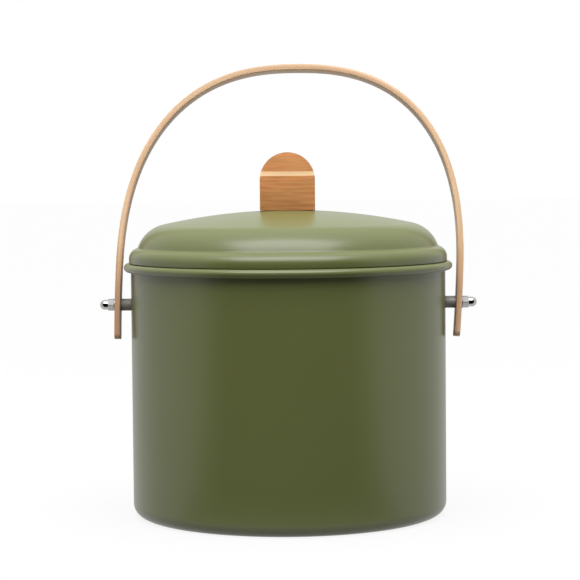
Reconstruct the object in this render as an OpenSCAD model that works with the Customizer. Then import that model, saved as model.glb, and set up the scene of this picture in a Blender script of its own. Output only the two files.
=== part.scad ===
// Compost caddy: a steel bucket with a rolled rim, a domed lid that lifts off, with a wooden
// knob on top and a charcoal filter underneath, and a bent-wood bail on two bolts.
// Millimetres, +Z up. The origin is the middle of the base, on the table.
// X runs along the bail's hinge line, and the front of the caddy faces -Y.

/* [Bucket] */
// Radius of the bucket, to the outside of its wall
bucket_r = 110; // [90:1:140]
// Height from the table to the top of the rolled rim
bucket_h = 176.9; // [150:0.1:240]
// Thickness of the steel sheet of bucket and lid
sheet_t = 1; // [0.8:0.1:1.4]
// Outer radius of the corner between base and wall
corner_r = 9; // [6:0.5:16]
// Height by which the middle of the base is pressed up
base_lift = 1.5; // [0.5:0.5:3]
// Width of the flat ring that the bucket stands on
foot_ring_w = 7; // [4:0.5:14]
// Diameter of the rolled rim
rim_d = 5.8; // [5:0.1:8]
// Gap between the rolled edge's end and the wall
curl_gap = 0.3; // [0.1:0.1:0.6]

/* [Lid] */
// How far the lid's lip stands out from the bucket's wall
lid_overhang = 1.2; // [0.8:0.1:2]
// Gap under the lip, above the rolled rim
lid_gap = 0.3; // [0.2:0.05:0.6]
// Height of the straight part of the lip
lip_h = 3; // [2:0.1:6]
// Outer radius of the rounded fold above the lip
lip_fold_r = 7.4; // [6:0.1:9]
// How far the shoulder of the dome stands in from the lip
shoulder_in = 5; // [4:0.1:7]
// Radius of the dome's shoulder
shoulder_r = 24; // [18:0.5:32]
// Radius of the dome's crown
crown_r = 410; // [300:5:600]
// Radius of the crease between the shoulder and the lip's fold
crease_r = 2.5; // [1.5:0.1:4]
// Thickness of the ring that centres the lid in the bucket
skirt_t = 0.8; // [0.6:0.1:1.2]
// Gap all round between that ring and the bucket's wall
skirt_gap = 0.6; // [0.4:0.1:1.2]
// How far that ring reaches below the top of the rim
skirt_depth = 10; // [6:0.5:20]

/* [Vents] */
// Diameter of a vent hole in the lid
vent_d = 4; // [2.5:0.5:5]
// Distance from hole to hole along a row
vent_pitch = 9; // [7:0.5:12]
// Distance of the first row from the middle of the lid
vent_row_r = 29; // [26:0.5:32]
// Distance from one row to the next
vent_row_gap = 8; // [6.5:0.5:9]

/* [Knob] */
// Width of the knob
knob_w = 38.4; // [32:0.2:46]
// Height of the knob
knob_h = 40.4; // [36:0.2:52]
// Depth of the knob's foot, from front to back
knob_d = 20; // [16:0.5:26]
// Depth of the tongue above the ledges
tongue_d = 12; // [8:0.5:14]
// Height of the front edge of the ledges above the lid
ledge_h = 24; // [20:0.2:28]
// How far each ledge slopes up from its front edge to the tongue
ledge_rise = 3; // [0:0.2:5]

/* [Knob screws] */
// Diameter of a screw
screw_d = 4; // [3:0.5:5]
// Length of a screw under its head
screw_len = 20; // [16:1:24]
// Diameter of a screw's head
screw_head_d = 8; // [6:0.5:9]
// Height of a screw's head
screw_head_h = 2.4; // [1.8:0.1:3]
// Distance between the two screws
screw_span = 20; // [16:0.5:22]
// Length of the cross slot in a head
recess_l = 4; // [3:0.5:5]
// Width of that slot
recess_w = 0.8; // [0.6:0.1:1.2]
// Depth of that slot
recess_depth = 1.2; // [0.8:0.1:1.6]
// Diameter of the washer under each head
screw_washer_d = 10; // [9:0.5:12]
// Thickness of those washers
screw_washer_t = 0.8; // [0.5:0.1:1.2]

/* [Filter] */
// Diameter of the charcoal filter pad
filter_d = 88; // [84:1:100]
// Thickness of the filter pad
filter_t = 10; // [6:0.5:12]
// Wall of the plastic filter frame
frame_wall = 2; // [1.5:0.1:3]
// Width of the frame's crossbar, which the knob screws hold
crossbar_w = 14; // [12:0.5:16]
// Thickness of the crossbar over the screws' washers
crossbar_t = 4; // [3:0.1:5]
// Thickness of the filter cover
cover_t = 2; // [1.5:0.1:3]
// Height of the cover's rim inside the frame
cover_rim_h = 6; // [5:0.5:8]
// Thickness of the cover's rim
cover_rim_t = 1.5; // [1.2:0.1:2]
// Height of the snap bead above the bottom of the cover's rim
snap_up = 4; // [3:0.5:5]
// How far the snap bead stands proud
snap_h = 0.5; // [0.3:0.05:0.7]
// Number of slots in the cover
slot_count = 12; // [8:1:18]
// Width of a slot
slot_w = 4; // [2.5:0.5:5]
// Length of a slot
slot_len = 22; // [14:1:26]
// Distance of the slots' inner ends from the middle of the cover
slot_start = 13.4; // [12.8:0.2:16]
// Length of the cover's finger bar
finger_bar_l = 24; // [18:1:30]
// Height of the finger bar
finger_bar_h = 5; // [3:0.5:8]
// Thickness of the finger bar
finger_bar_t = 2.4; // [2:0.2:4]

/* [Bail] */
// Thickness of the bent wood strip
bail_t = 4; // [3:0.1:6]
// Width of the strip
bail_w = 16; // [12:0.5:22]
// Height of the middle of the arch above the hinge line, along the bail
bail_h = 166; // [150:1:220]
// Squareness of the arch: 2 is half an ellipse, and more is squarer
bail_squareness = 2.43; // [2.2:0.01:2.8]
// Height above the hinge line at which the bail is widest
belly_h = 20; // [10:1:30]
// Length of the bail's feet below the hinge line
foot_len = 24; // [16:1:30]
// How far the ends of the feet draw in
foot_draw = 0.9; // [0:0.1:2]
// Radius of the corners at the ends of the feet
foot_corner_r = 3; // [1:0.5:6]
// How far the top of the arch stands to the right, as the wood has set
bail_sway = 7.2; // [-8:0.1:8]
// How far the bail leans back when it is set upright, in degrees
bail_lean = 7; // [0:0.5:15]

/* [Pivots] */
// How far the hinge line lies below the top of the rim
pivot_drop = 29.2; // [22:0.1:50]
// Diameter of the spacer sleeves
spacer_d = 8.4; // [7.5:0.1:10]
// Length of the spacer sleeves
spacer_len = 7.6; // [7.2:0.1:12]
// Diameter of the bolts
bolt_d = 5; // [4:0.5:6]
// Length of the bolts under the head
bolt_len = 20; // [19:0.5:24]
// Diameter of a bolt's button head
bolt_head_d = 9.5; // [8:0.1:11]
// Height of a bolt's head
bolt_head_h = 2.8; // [2.2:0.1:3.4]
// Width across the flats of the key socket in a bolt's head
socket_af = 3; // [2:0.5:4]
// Depth of that socket
socket_depth = 1.7; // [1.2:0.1:2]
// Diameter of the washers inside the bucket
inner_washer_d = 12; // [11:0.5:15]
// Diameter of the washers under the nuts
outer_washer_d = 9; // [8:0.1:10]
// Thickness of the washers
washer_t = 1; // [0.6:0.1:1.4]
// Width of the acorn nuts across the flats
nut_af = 8; // [7.5:0.5:10]
// Height of an acorn nut's hexagon
nut_hex_h = 4; // [3:0.1:6]
// Whole height of an acorn nut
nut_h = 10; // [8.5:0.1:13]
// Diameter of an acorn nut's dome
nut_dome_d = 7; // [6.6:0.1:7.4]

/* [Fits] */
// Gap all round a bolt or screw in a fixed hole
hole_gap = 0.15; // [0.05:0.05:0.3]
// Running gap all round a bolt in the bail
bail_gap = 0.08; // [0.03:0.01:0.1]
// Gap on each side of the bail, to the spacer and to the washer
side_gap = 0.15; // [0.1:0.05:0.3]
// Depth of the flat seats cut in the bail round its holes
seat_cut = 0.35; // [0.3:0.05:0.5]
// How far those seats reach past the washers and spacers
seat_margin = 0.6; // [0.4:0.1:1]
// Gap of a part that lies against another but isn't pressed on it
seat_gap = 0.05; // [0.02:0.01:0.1]
// Gap all round the filter pad and the cover's rim
pad_gap = 0.2; // [0.1:0.05:0.4]

/* [Hidden] */
$fn = 96;
LEFT = -1;
RIGHT = 1;
cut = 1; // how far a cutting shape runs past what it cuts
chord_err = 0.02; // how far the straight steps of an arc may lie off it
leg_steps = 6; // steps along a leg of the bail, below its belly
arch_steps = 24; // steps along half of its arch

paint = [0.37, 0.41, 0.24];
bail_wood = [0.87, 0.71, 0.54];
knob_wood = [0.76, 0.53, 0.32];
steel = [0.50, 0.49, 0.48];
plated = [0.82, 0.82, 0.83];
plastic = [0.16, 0.17, 0.16];
charcoal = [0.09, 0.09, 0.09];

// Bucket
inner_r = bucket_r - sheet_t;
rim_r = rim_d / 2;
rim_z = bucket_h - rim_r;
rim_centre_r = inner_r + rim_r;
// The rolled edge stops just short of the wall
rim_end = -180 + acos((rim_centre_r - bucket_r - curl_gap) / rim_r);
foot_edge_r = bucket_r - corner_r;
bolt_hole_r = bolt_d / 2 + hole_gap;

// Lid: a crown arc, a shoulder arc that is tangent to it, a small crease and the lip's fold
lid_r = bucket_r + lid_overhang;
lip_z = bucket_h + lid_gap;
fold_centre = [lid_r - lip_fold_r, lip_z + lip_h];
shoulder_centre = [lid_r - shoulder_in - shoulder_r, fold_centre[1]];
crown_drop = sqrt(pow(crown_r - shoulder_r, 2) - pow(shoulder_centre[0], 2));
crown_centre = [0, shoulder_centre[1] - crown_drop];
crown_z = crown_centre[1] + crown_r;
crease_centre = meeting(shoulder_centre, shoulder_r + crease_r, fold_centre, lip_fold_r + crease_r);

// Filter
screw_hole_r = screw_d / 2 + hole_gap;
frame_bore_r = filter_d / 2 + pad_gap + cover_rim_t + pad_gap;
frame_r = frame_bore_r + frame_wall;
frame_top = crown_under(frame_r);
crossbar_z = frame_top - crossbar_t + (crown_under(0) - frame_top) / 2;
screw_head_z = crossbar_z - screw_washer_t - screw_head_h;
cover_z = screw_head_z - pad_gap - filter_t;
snap_z = cover_z + snap_up;
snap_r = frame_bore_r - pad_gap;

// Pivots
pivot_z = bucket_h - pivot_drop;
inner_seat_x = sqrt(pow(inner_r, 2) - pow(inner_washer_d / 2, 2));
bolt_seat_x = inner_seat_x - washer_t;
bail_inner_seat_x = bucket_r + spacer_len + side_gap;
eye_x = bail_inner_seat_x - seat_cut + bail_t / 2;
bail_outer_seat_x = eye_x + bail_t / 2 - seat_cut;
nut_x = bail_outer_seat_x + side_gap + washer_t;
bolt_tip_x = bolt_seat_x + bolt_len;
eye_seat_r = max(spacer_d, outer_washer_d) / 2 + seat_margin;

// Bail
belly_x = eye_x + foot_draw * pow(belly_h / (belly_h + foot_len), 2);

// Points along an arc round a centre, from one angle to another. With first = 1 the arc leaves
// out its first point, which the path that it carries on already has
function arc(centre, r, from, to, first = 0) =
    let (steps = ceil(abs(to - from) / (2 * acos(1 - chord_err / r))))
    [for (i = [first : steps]) let (a = from + (to - from) * i / steps)
        centre + r * [cos(a), sin(a)]];

// Angle at which a point is seen from a centre
function bearing(centre, p) = atan2(p[1] - centre[1], p[0] - centre[0]);

// The right-hand point that lies r1 from the first centre and r2 from the second
function meeting(c1, r1, c2, r2) =
    let (d = norm(c2 - c1), u = (c2 - c1) / d, along = (r1 * r1 - r2 * r2 + d * d) / (2 * d))
    c1 + along * u + sqrt(r1 * r1 - along * along) * [-u[1], u[0]];

// A path's edge number i as a unit vector turned to the right of the path
function right_of_edge(path, i) =
    let (e = path[i + 1] - path[i]) [e[1], -e[0]] / norm(e);

// The shift of a path's point i that moves both edges beside it one unit to the right.
// A path that starts on the Z axis stays on it
function shift_right(path, i) =
    i == 0 ? (path[0][0] == 0 ? [0, -1] : right_of_edge(path, 0)) :
    i == len(path) - 1 ? right_of_edge(path, i - 1) :
    let (m = right_of_edge(path, i - 1) + right_of_edge(path, i)) m * 2 / (m * m);

// A path that runs at a distance to the right of another
function beside(path, d) = [for (i = [0 : len(path) - 1]) path[i] + d * shift_right(path, i)];

function reversed(path) = [for (i = [len(path) - 1 : -1 : 0]) path[i]];

// Height of the underside of the lid's crown at a distance from the middle
function crown_under(r) =
    crown_centre[1] + sqrt(pow(crown_r - sheet_t, 2) - r * r) - seat_gap;

// Inside face of the bucket, from the middle of the base up to and round the rolled rim
bucket_path = concat(
    [[0, base_lift + sheet_t], [foot_edge_r - foot_ring_w - base_lift, base_lift + sheet_t],
     [foot_edge_r - foot_ring_w, sheet_t]],
    arc([foot_edge_r, corner_r], corner_r - sheet_t, -90, 0),
    arc([rim_centre_r, rim_z], rim_r, 180, rim_end)
);

// Outside face of the lid, from the middle of the crown to the bottom of the lip
tangent_a = bearing(crown_centre, shoulder_centre);
shoulder_a = bearing(shoulder_centre, crease_centre);
fold_a = bearing(fold_centre, crease_centre);
lid_path = concat(
    [[0, crown_z]],
    arc(crown_centre, crown_r, 90, tangent_a, first = 1),
    arc(shoulder_centre, shoulder_r, tangent_a, shoulder_a, first = 1),
    arc(crease_centre, crease_r, 180 + shoulder_a, 180 + fold_a, first = 1),
    arc(fold_centre, lip_fold_r, fold_a, 0, first = 1),
    [[lid_r, lip_z]]
);

// Middle of the bail's right half, from the end of the foot up to the top of the arch
bail_half = concat(
    [for (i = [0 : leg_steps - 1]) let (v = -foot_len + (foot_len + belly_h) * i / leg_steps)
        [belly_x - foot_draw * pow((belly_h - v) / (belly_h + foot_len), 2), v]],
    [for (i = [0 : arch_steps]) let (a = i * 90 / arch_steps)
        [belly_x * pow(cos(a), 2 / bail_squareness),
         belly_h + (bail_h - belly_h) * pow(sin(a), 2 / bail_squareness)]]
);
bail_left = [for (i = [len(bail_half) - 2 : -1 : 0]) [-bail_half[i][0], bail_half[i][1]]];
// The whole bail, from the right foot over the arch to the left foot, with its sway
bail_path = [for (p = concat(bail_half, bail_left)) [p[0] + bail_sway * p[1] / bail_h, p[1]]];

// Section of a sheet that lies to the right of a path
module sheet_section(path, t) {
    polygon(concat(path, reversed(beside(path, t))));
}

// Puts a piece that points up +Z on the hinge line, pointing out to one side
module outward(side) {
    translate([0, 0, pivot_z]) rotate([0, side * 90, 0]) children();
}

// Puts pieces in the bail's own frame: the hinge line is X, and the arch stands up from it
module on_bail() {
    translate([0, 0, pivot_z]) rotate([-bail_lean, 0, 0]) children();
}

// A ring or sleeve standing on a height z
module ring(outer_r, hole_r, z, h) {
    translate([0, 0, z]) difference() {
        cylinder(r = outer_r, h = h);
        translate([0, 0, -cut]) cylinder(r = hole_r, h = h + 2 * cut);
    }
}

// A hexagonal bar of a width across its flats, with two of its corners over the X axis
module hexagon(af, h) {
    cylinder(r = af / 2 / cos(30), h = h, $fn = 6);
}

// Puts a piece at each of the two knob screws
module each_screw() {
    for (side = [LEFT, RIGHT]) translate([side * screw_span / 2, 0, 0]) children();
}

module bucket_shell() {
    color(paint) difference() {
        rotate_extrude() sheet_section(bucket_path, sheet_t);
        for (side = [LEFT, RIGHT]) outward(side)
            translate([0, 0, inner_seat_x - cut])
                cylinder(r = bolt_hole_r, h = bucket_r - inner_seat_x + 2 * cut);
    }
}

// The space under the lid, a small gap away from its inside face
module under_lid() {
    face = beside(lid_path, sheet_t + seat_gap);
    rotate_extrude() polygon(concat(face, [[face[len(face) - 1][0], 0], [0, 0]]));
}

// Drills for a row of vent holes, on an arc behind the knob
module vent_row(r, count) {
    step = vent_pitch / r * 180 / PI;
    for (i = [0 : count - 1]) rotate([0, 0, 90 + (i - (count - 1) / 2) * step])
        translate([r, 0, lip_z]) cylinder(d = vent_d, h = crown_z - lip_z + cut, $fn = 24);
}

module lid_shell() {
    color(paint) difference() {
        rotate_extrude() sheet_section(lid_path, sheet_t);
        vent_row(vent_row_r, 5);
        vent_row(vent_row_r + vent_row_gap, 6);
        each_screw() translate([0, 0, lip_z])
            cylinder(r = screw_hole_r, h = crown_z - lip_z + cut, $fn = 24);
    }
}

module lid_skirt() {
    skirt_r = inner_r - skirt_gap;
    color(paint) intersection() {
        ring(skirt_r, skirt_r - skirt_t, bucket_h - skirt_depth, skirt_depth + crown_z - bucket_h);
        under_lid();
    }
}

// Front outline of the knob, standing on z = 0, with a round top
module knob_front() {
    translate([0, knob_h - knob_w / 2]) circle(d = knob_w);
    translate([-knob_w / 2, 0]) square([knob_w, knob_h - knob_w / 2]);
}

// Side outline of the knob: a thick foot, a sloping ledge on each face and a thinner tongue
module knob_side() {
    ledge_top = ledge_h + ledge_rise;
    polygon([
        [-knob_d / 2, 0], [knob_d / 2, 0], [knob_d / 2, ledge_h], [tongue_d / 2, ledge_top],
        [tongue_d / 2, knob_h + cut], [-tongue_d / 2, knob_h + cut],
        [-tongue_d / 2, ledge_top], [-knob_d / 2, ledge_h]
    ]);
}

module lid_knob() {
    color(knob_wood) translate([0, 0, crown_z]) difference() {
        intersection() {
            rotate([90, 0, 0]) linear_extrude(knob_d, center = true) knob_front();
            rotate([90, 0, 90]) linear_extrude(knob_w, center = true) knob_side();
        }
        each_screw() translate([0, 0, crossbar_z - screw_washer_t - crown_z])
            cylinder(d = screw_d + 2 * seat_gap, h = screw_len + cut, $fn = 24);
    }
}

module knob_screws() {
    point_h = screw_d;
    color(plated) each_screw() translate([0, 0, screw_head_z]) difference() {
        union() {
            cylinder(d = screw_head_d, h = screw_head_h);
            cylinder(d = screw_d, h = screw_head_h + screw_len - point_h);
            translate([0, 0, screw_head_h + screw_len - point_h])
                cylinder(d1 = screw_d, d2 = 0, h = point_h);
        }
        for (turn = [0, 90]) rotate([0, 0, turn])
            cube([recess_l, recess_w, 2 * recess_depth], center = true);
    }
}

module knob_washers() {
    color(plated) each_screw()
        ring(screw_washer_d / 2, screw_hole_r, crossbar_z - screw_washer_t, screw_washer_t);
}

module filter_frame() {
    groove_h = 2 * snap_h;
    color(plastic) difference() {
        intersection() {
            union() {
                ring(frame_r, frame_bore_r, cover_z, crown_z - cover_z);
                translate([-frame_bore_r - seat_gap, -crossbar_w / 2, crossbar_z])
                    cube([2 * (frame_bore_r + seat_gap), crossbar_w, crown_z - crossbar_z]);
            }
            under_lid();
        }
        ring(frame_bore_r + snap_h, frame_bore_r - cut, snap_z - groove_h, 2 * groove_h);
        each_screw() translate([0, 0, crossbar_z - cut])
            cylinder(r = screw_hole_r, h = crown_z - crossbar_z + cut, $fn = 24);
    }
}

module charcoal_filter() {
    color(charcoal) translate([0, 0, cover_z + seat_gap])
        cylinder(d = filter_d, h = filter_t);
}

module filter_cover() {
    plate_z = cover_z - cover_t - seat_gap;
    color(plastic) {
        difference() {
            union() {
                translate([0, 0, plate_z]) cylinder(r = frame_r, h = cover_t);
                ring(snap_r, snap_r - cover_rim_t, cover_z - cover_t, cover_t + cover_rim_h);
                rotate_extrude() polygon([
                    [snap_r - cover_rim_t / 2, snap_z - snap_h], [snap_r, snap_z - snap_h],
                    [snap_r + snap_h, snap_z], [snap_r, snap_z + snap_h],
                    [snap_r - cover_rim_t / 2, snap_z + snap_h]
                ]);
            }
            for (i = [0 : slot_count - 1]) rotate([0, 0, (i + 0.5) * 360 / slot_count])
                translate([slot_start, -slot_w / 2, plate_z - cut])
                    cube([slot_len, slot_w, cover_t + 2 * cut]);
        }
        translate([-finger_bar_l / 2, -finger_bar_t / 2, plate_z - finger_bar_h])
            cube([finger_bar_l, finger_bar_t, finger_bar_h + cover_t / 2]);
    }
}

// Side view of the strip, with the corners at the end of the foot rounded
module strip_side() {
    half = bail_w / 2;
    translate([-half, foot_corner_r - foot_len])
        square([bail_w, bail_h + foot_len + bail_t]);
    translate([foot_corner_r - half, -foot_len])
        square([bail_w - 2 * foot_corner_r, 2 * foot_corner_r]);
    for (side = [-1, 1]) translate([side * (half - foot_corner_r), foot_corner_r - foot_len])
        circle(r = foot_corner_r, $fn = 32);
}

module bail_handle() {
    reach = eye_x + bail_t + abs(bail_sway) + cut;
    color(bail_wood) on_bail() difference() {
        intersection() {
            rotate([90, 0, 0]) linear_extrude(bail_w, center = true)
                polygon(concat(
                    beside(bail_path, bail_t / 2), reversed(beside(bail_path, -bail_t / 2))
                ));
            rotate([90, 0, 90]) linear_extrude(2 * reach, center = true) strip_side();
        }
        for (side = [LEFT, RIGHT]) rotate([0, side * 90, 0]) {
            translate([0, 0, bail_inner_seat_x - bail_t])
                cylinder(r = bolt_d / 2 + bail_gap, h = 3 * bail_t);
            translate([0, 0, bail_inner_seat_x - bail_t]) cylinder(r = eye_seat_r, h = bail_t);
            translate([0, 0, bail_outer_seat_x]) cylinder(r = eye_seat_r, h = bail_t);
        }
    }
}

// Button-head bolt, put in from inside the bucket
module pivot_bolt(side) {
    round_r = (pow(bolt_head_d / 2, 2) + pow(bolt_head_h, 2)) / (2 * bolt_head_h);
    color(plated) outward(side) difference() {
        union() {
            translate([0, 0, bolt_seat_x]) cylinder(d = bolt_d, h = bolt_len);
            intersection() {
                translate([0, 0, bolt_seat_x - bolt_head_h + round_r]) sphere(r = round_r);
                translate([0, 0, bolt_seat_x - bolt_head_h])
                    cylinder(d = bolt_head_d + cut, h = bolt_head_h);
            }
        }
        translate([0, 0, bolt_seat_x - bolt_head_h - cut])
            hexagon(socket_af, cut + socket_depth);
    }
}

module inner_washer(side) {
    color(plated) outward(side)
        ring(inner_washer_d / 2, bolt_hole_r, bolt_seat_x, washer_t);
}

module spacer(side) {
    color(steel) outward(side) ring(spacer_d / 2, bolt_hole_r, bucket_r, spacer_len);
}

module outer_washer(side) {
    color(plated) outward(side)
        ring(outer_washer_d / 2, bolt_hole_r, nut_x - washer_t, washer_t);
}

module acorn_nut(side) {
    dome_r = nut_dome_d / 2;
    cone_h = nut_hex_h + nut_af * (1 / cos(30) - 1) / 4; // its 45 degree cone takes the corners off
    color(plated) outward(side) difference() {
        union() {
            // Turned so that two flats face up and down, as in the photo
            translate([0, 0, nut_x]) intersection() {
                rotate([0, 0, 30]) hexagon(nut_af, nut_hex_h);
                cylinder(r1 = nut_af / 2 + cone_h, r2 = nut_af / 2, h = cone_h);
            }
            translate([0, 0, nut_x + nut_hex_h / 2])
                cylinder(r = dome_r, h = nut_h - dome_r - nut_hex_h / 2);
            translate([0, 0, nut_x + nut_h - dome_r]) sphere(r = dome_r);
        }
        translate([0, 0, nut_x - cut])
            cylinder(r = bolt_d / 2 + seat_gap, h = bolt_tip_x - nut_x + cut + seat_gap);
    }
}

bucket_shell();
bail_handle();
lid_shell();
lid_skirt();
lid_knob();
knob_screws();
knob_washers();
filter_frame();
charcoal_filter();
filter_cover();
pivot_bolt(LEFT);  // left_pivot_bolt
pivot_bolt(RIGHT);  // right_pivot_bolt
inner_washer(LEFT);  // left_inner_washer
inner_washer(RIGHT);  // right_inner_washer
spacer(LEFT);  // left_spacer
spacer(RIGHT);  // right_spacer
outer_washer(LEFT);  // left_outer_washer
outer_washer(RIGHT);  // right_outer_washer
acorn_nut(LEFT);  // left_acorn_nut
acorn_nut(RIGHT);  // right_acorn_nut
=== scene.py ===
"""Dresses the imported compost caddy: steel bucket, domed lid, wooden knob and bent-wood bail.

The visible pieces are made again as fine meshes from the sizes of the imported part, and each gets
a procedural finish. The classes of pieces hold millimetres and degrees. Finishes, node trees and
the studio hold metres, as Blender does.
"""

import sys
import logging
import math
from collections.abc import Sequence
from dataclasses import dataclass, field
from enum import Enum

import bmesh
import bpy
import numpy as np
from mathutils import Matrix, Vector


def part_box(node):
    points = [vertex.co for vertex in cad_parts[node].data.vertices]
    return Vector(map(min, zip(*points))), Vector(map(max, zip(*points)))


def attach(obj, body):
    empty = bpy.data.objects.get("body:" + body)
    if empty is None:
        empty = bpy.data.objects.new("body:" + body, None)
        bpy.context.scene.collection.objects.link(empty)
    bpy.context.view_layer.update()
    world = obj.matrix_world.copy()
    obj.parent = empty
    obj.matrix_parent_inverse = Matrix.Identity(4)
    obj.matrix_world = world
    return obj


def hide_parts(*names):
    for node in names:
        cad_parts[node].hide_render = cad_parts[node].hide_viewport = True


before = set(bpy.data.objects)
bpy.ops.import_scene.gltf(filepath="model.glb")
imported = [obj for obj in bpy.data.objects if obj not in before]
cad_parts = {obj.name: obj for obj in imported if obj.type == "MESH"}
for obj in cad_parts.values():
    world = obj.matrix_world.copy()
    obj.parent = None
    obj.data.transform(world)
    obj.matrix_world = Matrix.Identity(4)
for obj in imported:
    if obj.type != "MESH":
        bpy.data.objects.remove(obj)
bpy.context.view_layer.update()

LOG = logging.getLogger("caddy")

Point = tuple[float, float]
Place = tuple[float, float, float]
Path = list[Point]
Colour = tuple[float, float, float]
Piece = bpy.types.Object
Material = bpy.types.Material
Node = bpy.types.Node
Socket = bpy.types.NodeSocket
Sockets = dict[str, Socket]
Tree = bpy.types.NodeTree
Value = Socket | float | str | tuple[float, ...]

MM = 0.001
ON_AXIS = 1e-9           # a radius below this lies on the axis
CORNER = 30.0            # an outline's corners that turn by more degrees are rounded
EDGE_SHARE = 0.45        # the most of an edge that a rounded corner takes up
WELD = 1e-6              # points closer than this are one point, in metres
DRILL = 0.06             # length of the trees' drills, in metres
CLEAR = 1.0              # how far a cutter stands clear of what it cuts, in millimetres
VENT_ROWS = 2
TURNED = ("out", "up", "turn")    # a turned point's radius, height and angle

PIVOT_Z = 147.7          # height of the hinge line
SCREW_SPAN = 20.0        # from one knob screw to the other
WALL_R = 110.0           # outside of the bucket's wall


class Side(Enum):
    """The two ends of the hinge line."""

    LEFT = -1
    RIGHT = 1


class Body(Enum):
    """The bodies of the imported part."""

    BUCKET = "bucket"
    BAIL = "bail"
    LID = "lid"


class Slot(Enum):
    """The record's material slots."""

    PAINT = "painted_steel"
    BAIL_WOOD = "bail_wood"
    KNOB_WOOD = "knob_wood"
    SPACER = "spacer_steel"
    PLATED = "plated_steel"
    NUT = "bright_nut"
    PLASTIC = "filter_plastic"
    FELT = "charcoal_felt"


# ---------------------------------------------------------------- outlines


def arc(centre: Point, radius: float, start: float, end: float, steps: int) -> Path:
    """Points along an arc.

    Args:
        centre: Middle of the arc.
        radius: Its radius.
        start: Angle of the first point, in degrees.
        end: Angle of the last point, in degrees.
        steps: Number of straight steps.

    Returns:
        The points, with both ends.
    """
    angles = [math.radians(start + (end - start) * i / steps) for i in range(steps + 1)]
    return [(centre[0] + radius * math.cos(a), centre[1] + radius * math.sin(a)) for a in angles]


def bearing(centre: Point, point: Point) -> float:
    """Angle in degrees at which a point is seen from a centre."""
    return math.degrees(math.atan2(point[1] - centre[1], point[0] - centre[0]))


def meeting(first: Point, r1: float, second: Point, r2: float) -> Point:
    """One of the two points at which two circles meet.

    Args:
        first: Centre of the first circle.
        r1: Its radius.
        second: Centre of the second circle.
        r2: Its radius.

    Returns:
        The point to the left of the line from the first centre to the second.
    """
    a, b = Vector(first), Vector(second)
    reach = (b - a).length
    unit = (b - a) / reach
    along = (r1 * r1 - r2 * r2 + reach * reach) / (2 * reach)
    point = a + along * unit + math.sqrt(r1 * r1 - along * along) * Vector((-unit.y, unit.x))
    return (point.x, point.y)


def beside(path: Path, distance: float) -> Path:
    """A path at a distance to the right of another.

    Args:
        path: The first path. If it starts on the axis, the new one starts there too.
        distance: How far to the right.

    Returns:
        The new path, point for point.
    """
    points = [Vector(p) for p in path]
    edges = [(b - a).normalized() for a, b in zip(points, points[1:])]
    rights = [Vector((edge.y, -edge.x)) for edge in edges]
    shifts = [Vector((0, -1)) if abs(points[0].x) < ON_AXIS else rights[0]]
    for mitre in (a + b for a, b in zip(rights, rights[1:])):
        shifts.append(mitre * 2 / mitre.length_squared)
    shifts.append(rights[-1])
    return [tuple(p + distance * shift) for p, shift in zip(points, shifts)]


def rounded(outline: Path, radius: float, steps: int = 3, closed: bool = True) -> Path:
    """Rounds the corners of an outline.

    Args:
        outline: The corner points.
        radius: Radius of the rounding. It is cut to what the edges beside a corner leave.
        steps: Straight steps in each rounding.
        closed: Whether the last point joins the first.

    Returns:
        The outline with its corners rounded.
    """
    made: Path = []
    last = len(outline) - 1
    for i, point in enumerate(outline):
        p, following = Vector(point), outline[i + 1 if i < last else 0]
        back, on = Vector(outline[i - 1]) - p, Vector(following) - p
        turn = math.pi - back.angle(on)
        if turn < math.radians(CORNER) or (not closed and i in (0, last)):
            made.append(point)
            continue
        cut = min(radius * math.tan(turn / 2), back.length * EDGE_SHARE, on.length * EDGE_SHARE)
        start, end = p + back.normalized() * cut, p + on.normalized() * cut
        for t in (k / steps for k in range(steps + 1)):
            made.append(tuple(start * (1 - t) ** 2 + p * 2 * t * (1 - t) + end * t * t))
    return made


def sheet_section(face: Path, thickness: float, hem: float = 0.45) -> Path:
    """Section of a sheet, with soft cut edges.

    Args:
        face: One face of the sheet, with the sheet to its right.
        thickness: Thickness of the sheet.
        hem: Radius of the cut edge's corners.

    Returns:
        A closed outline, or an open one where the sheet starts on the axis.
    """
    on_axis = abs(face[0][0]) < ON_AXIS
    return rounded(face + beside(face, thickness)[::-1], hem, closed=not on_axis)


# ---------------------------------------------------------------- node trees


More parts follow.
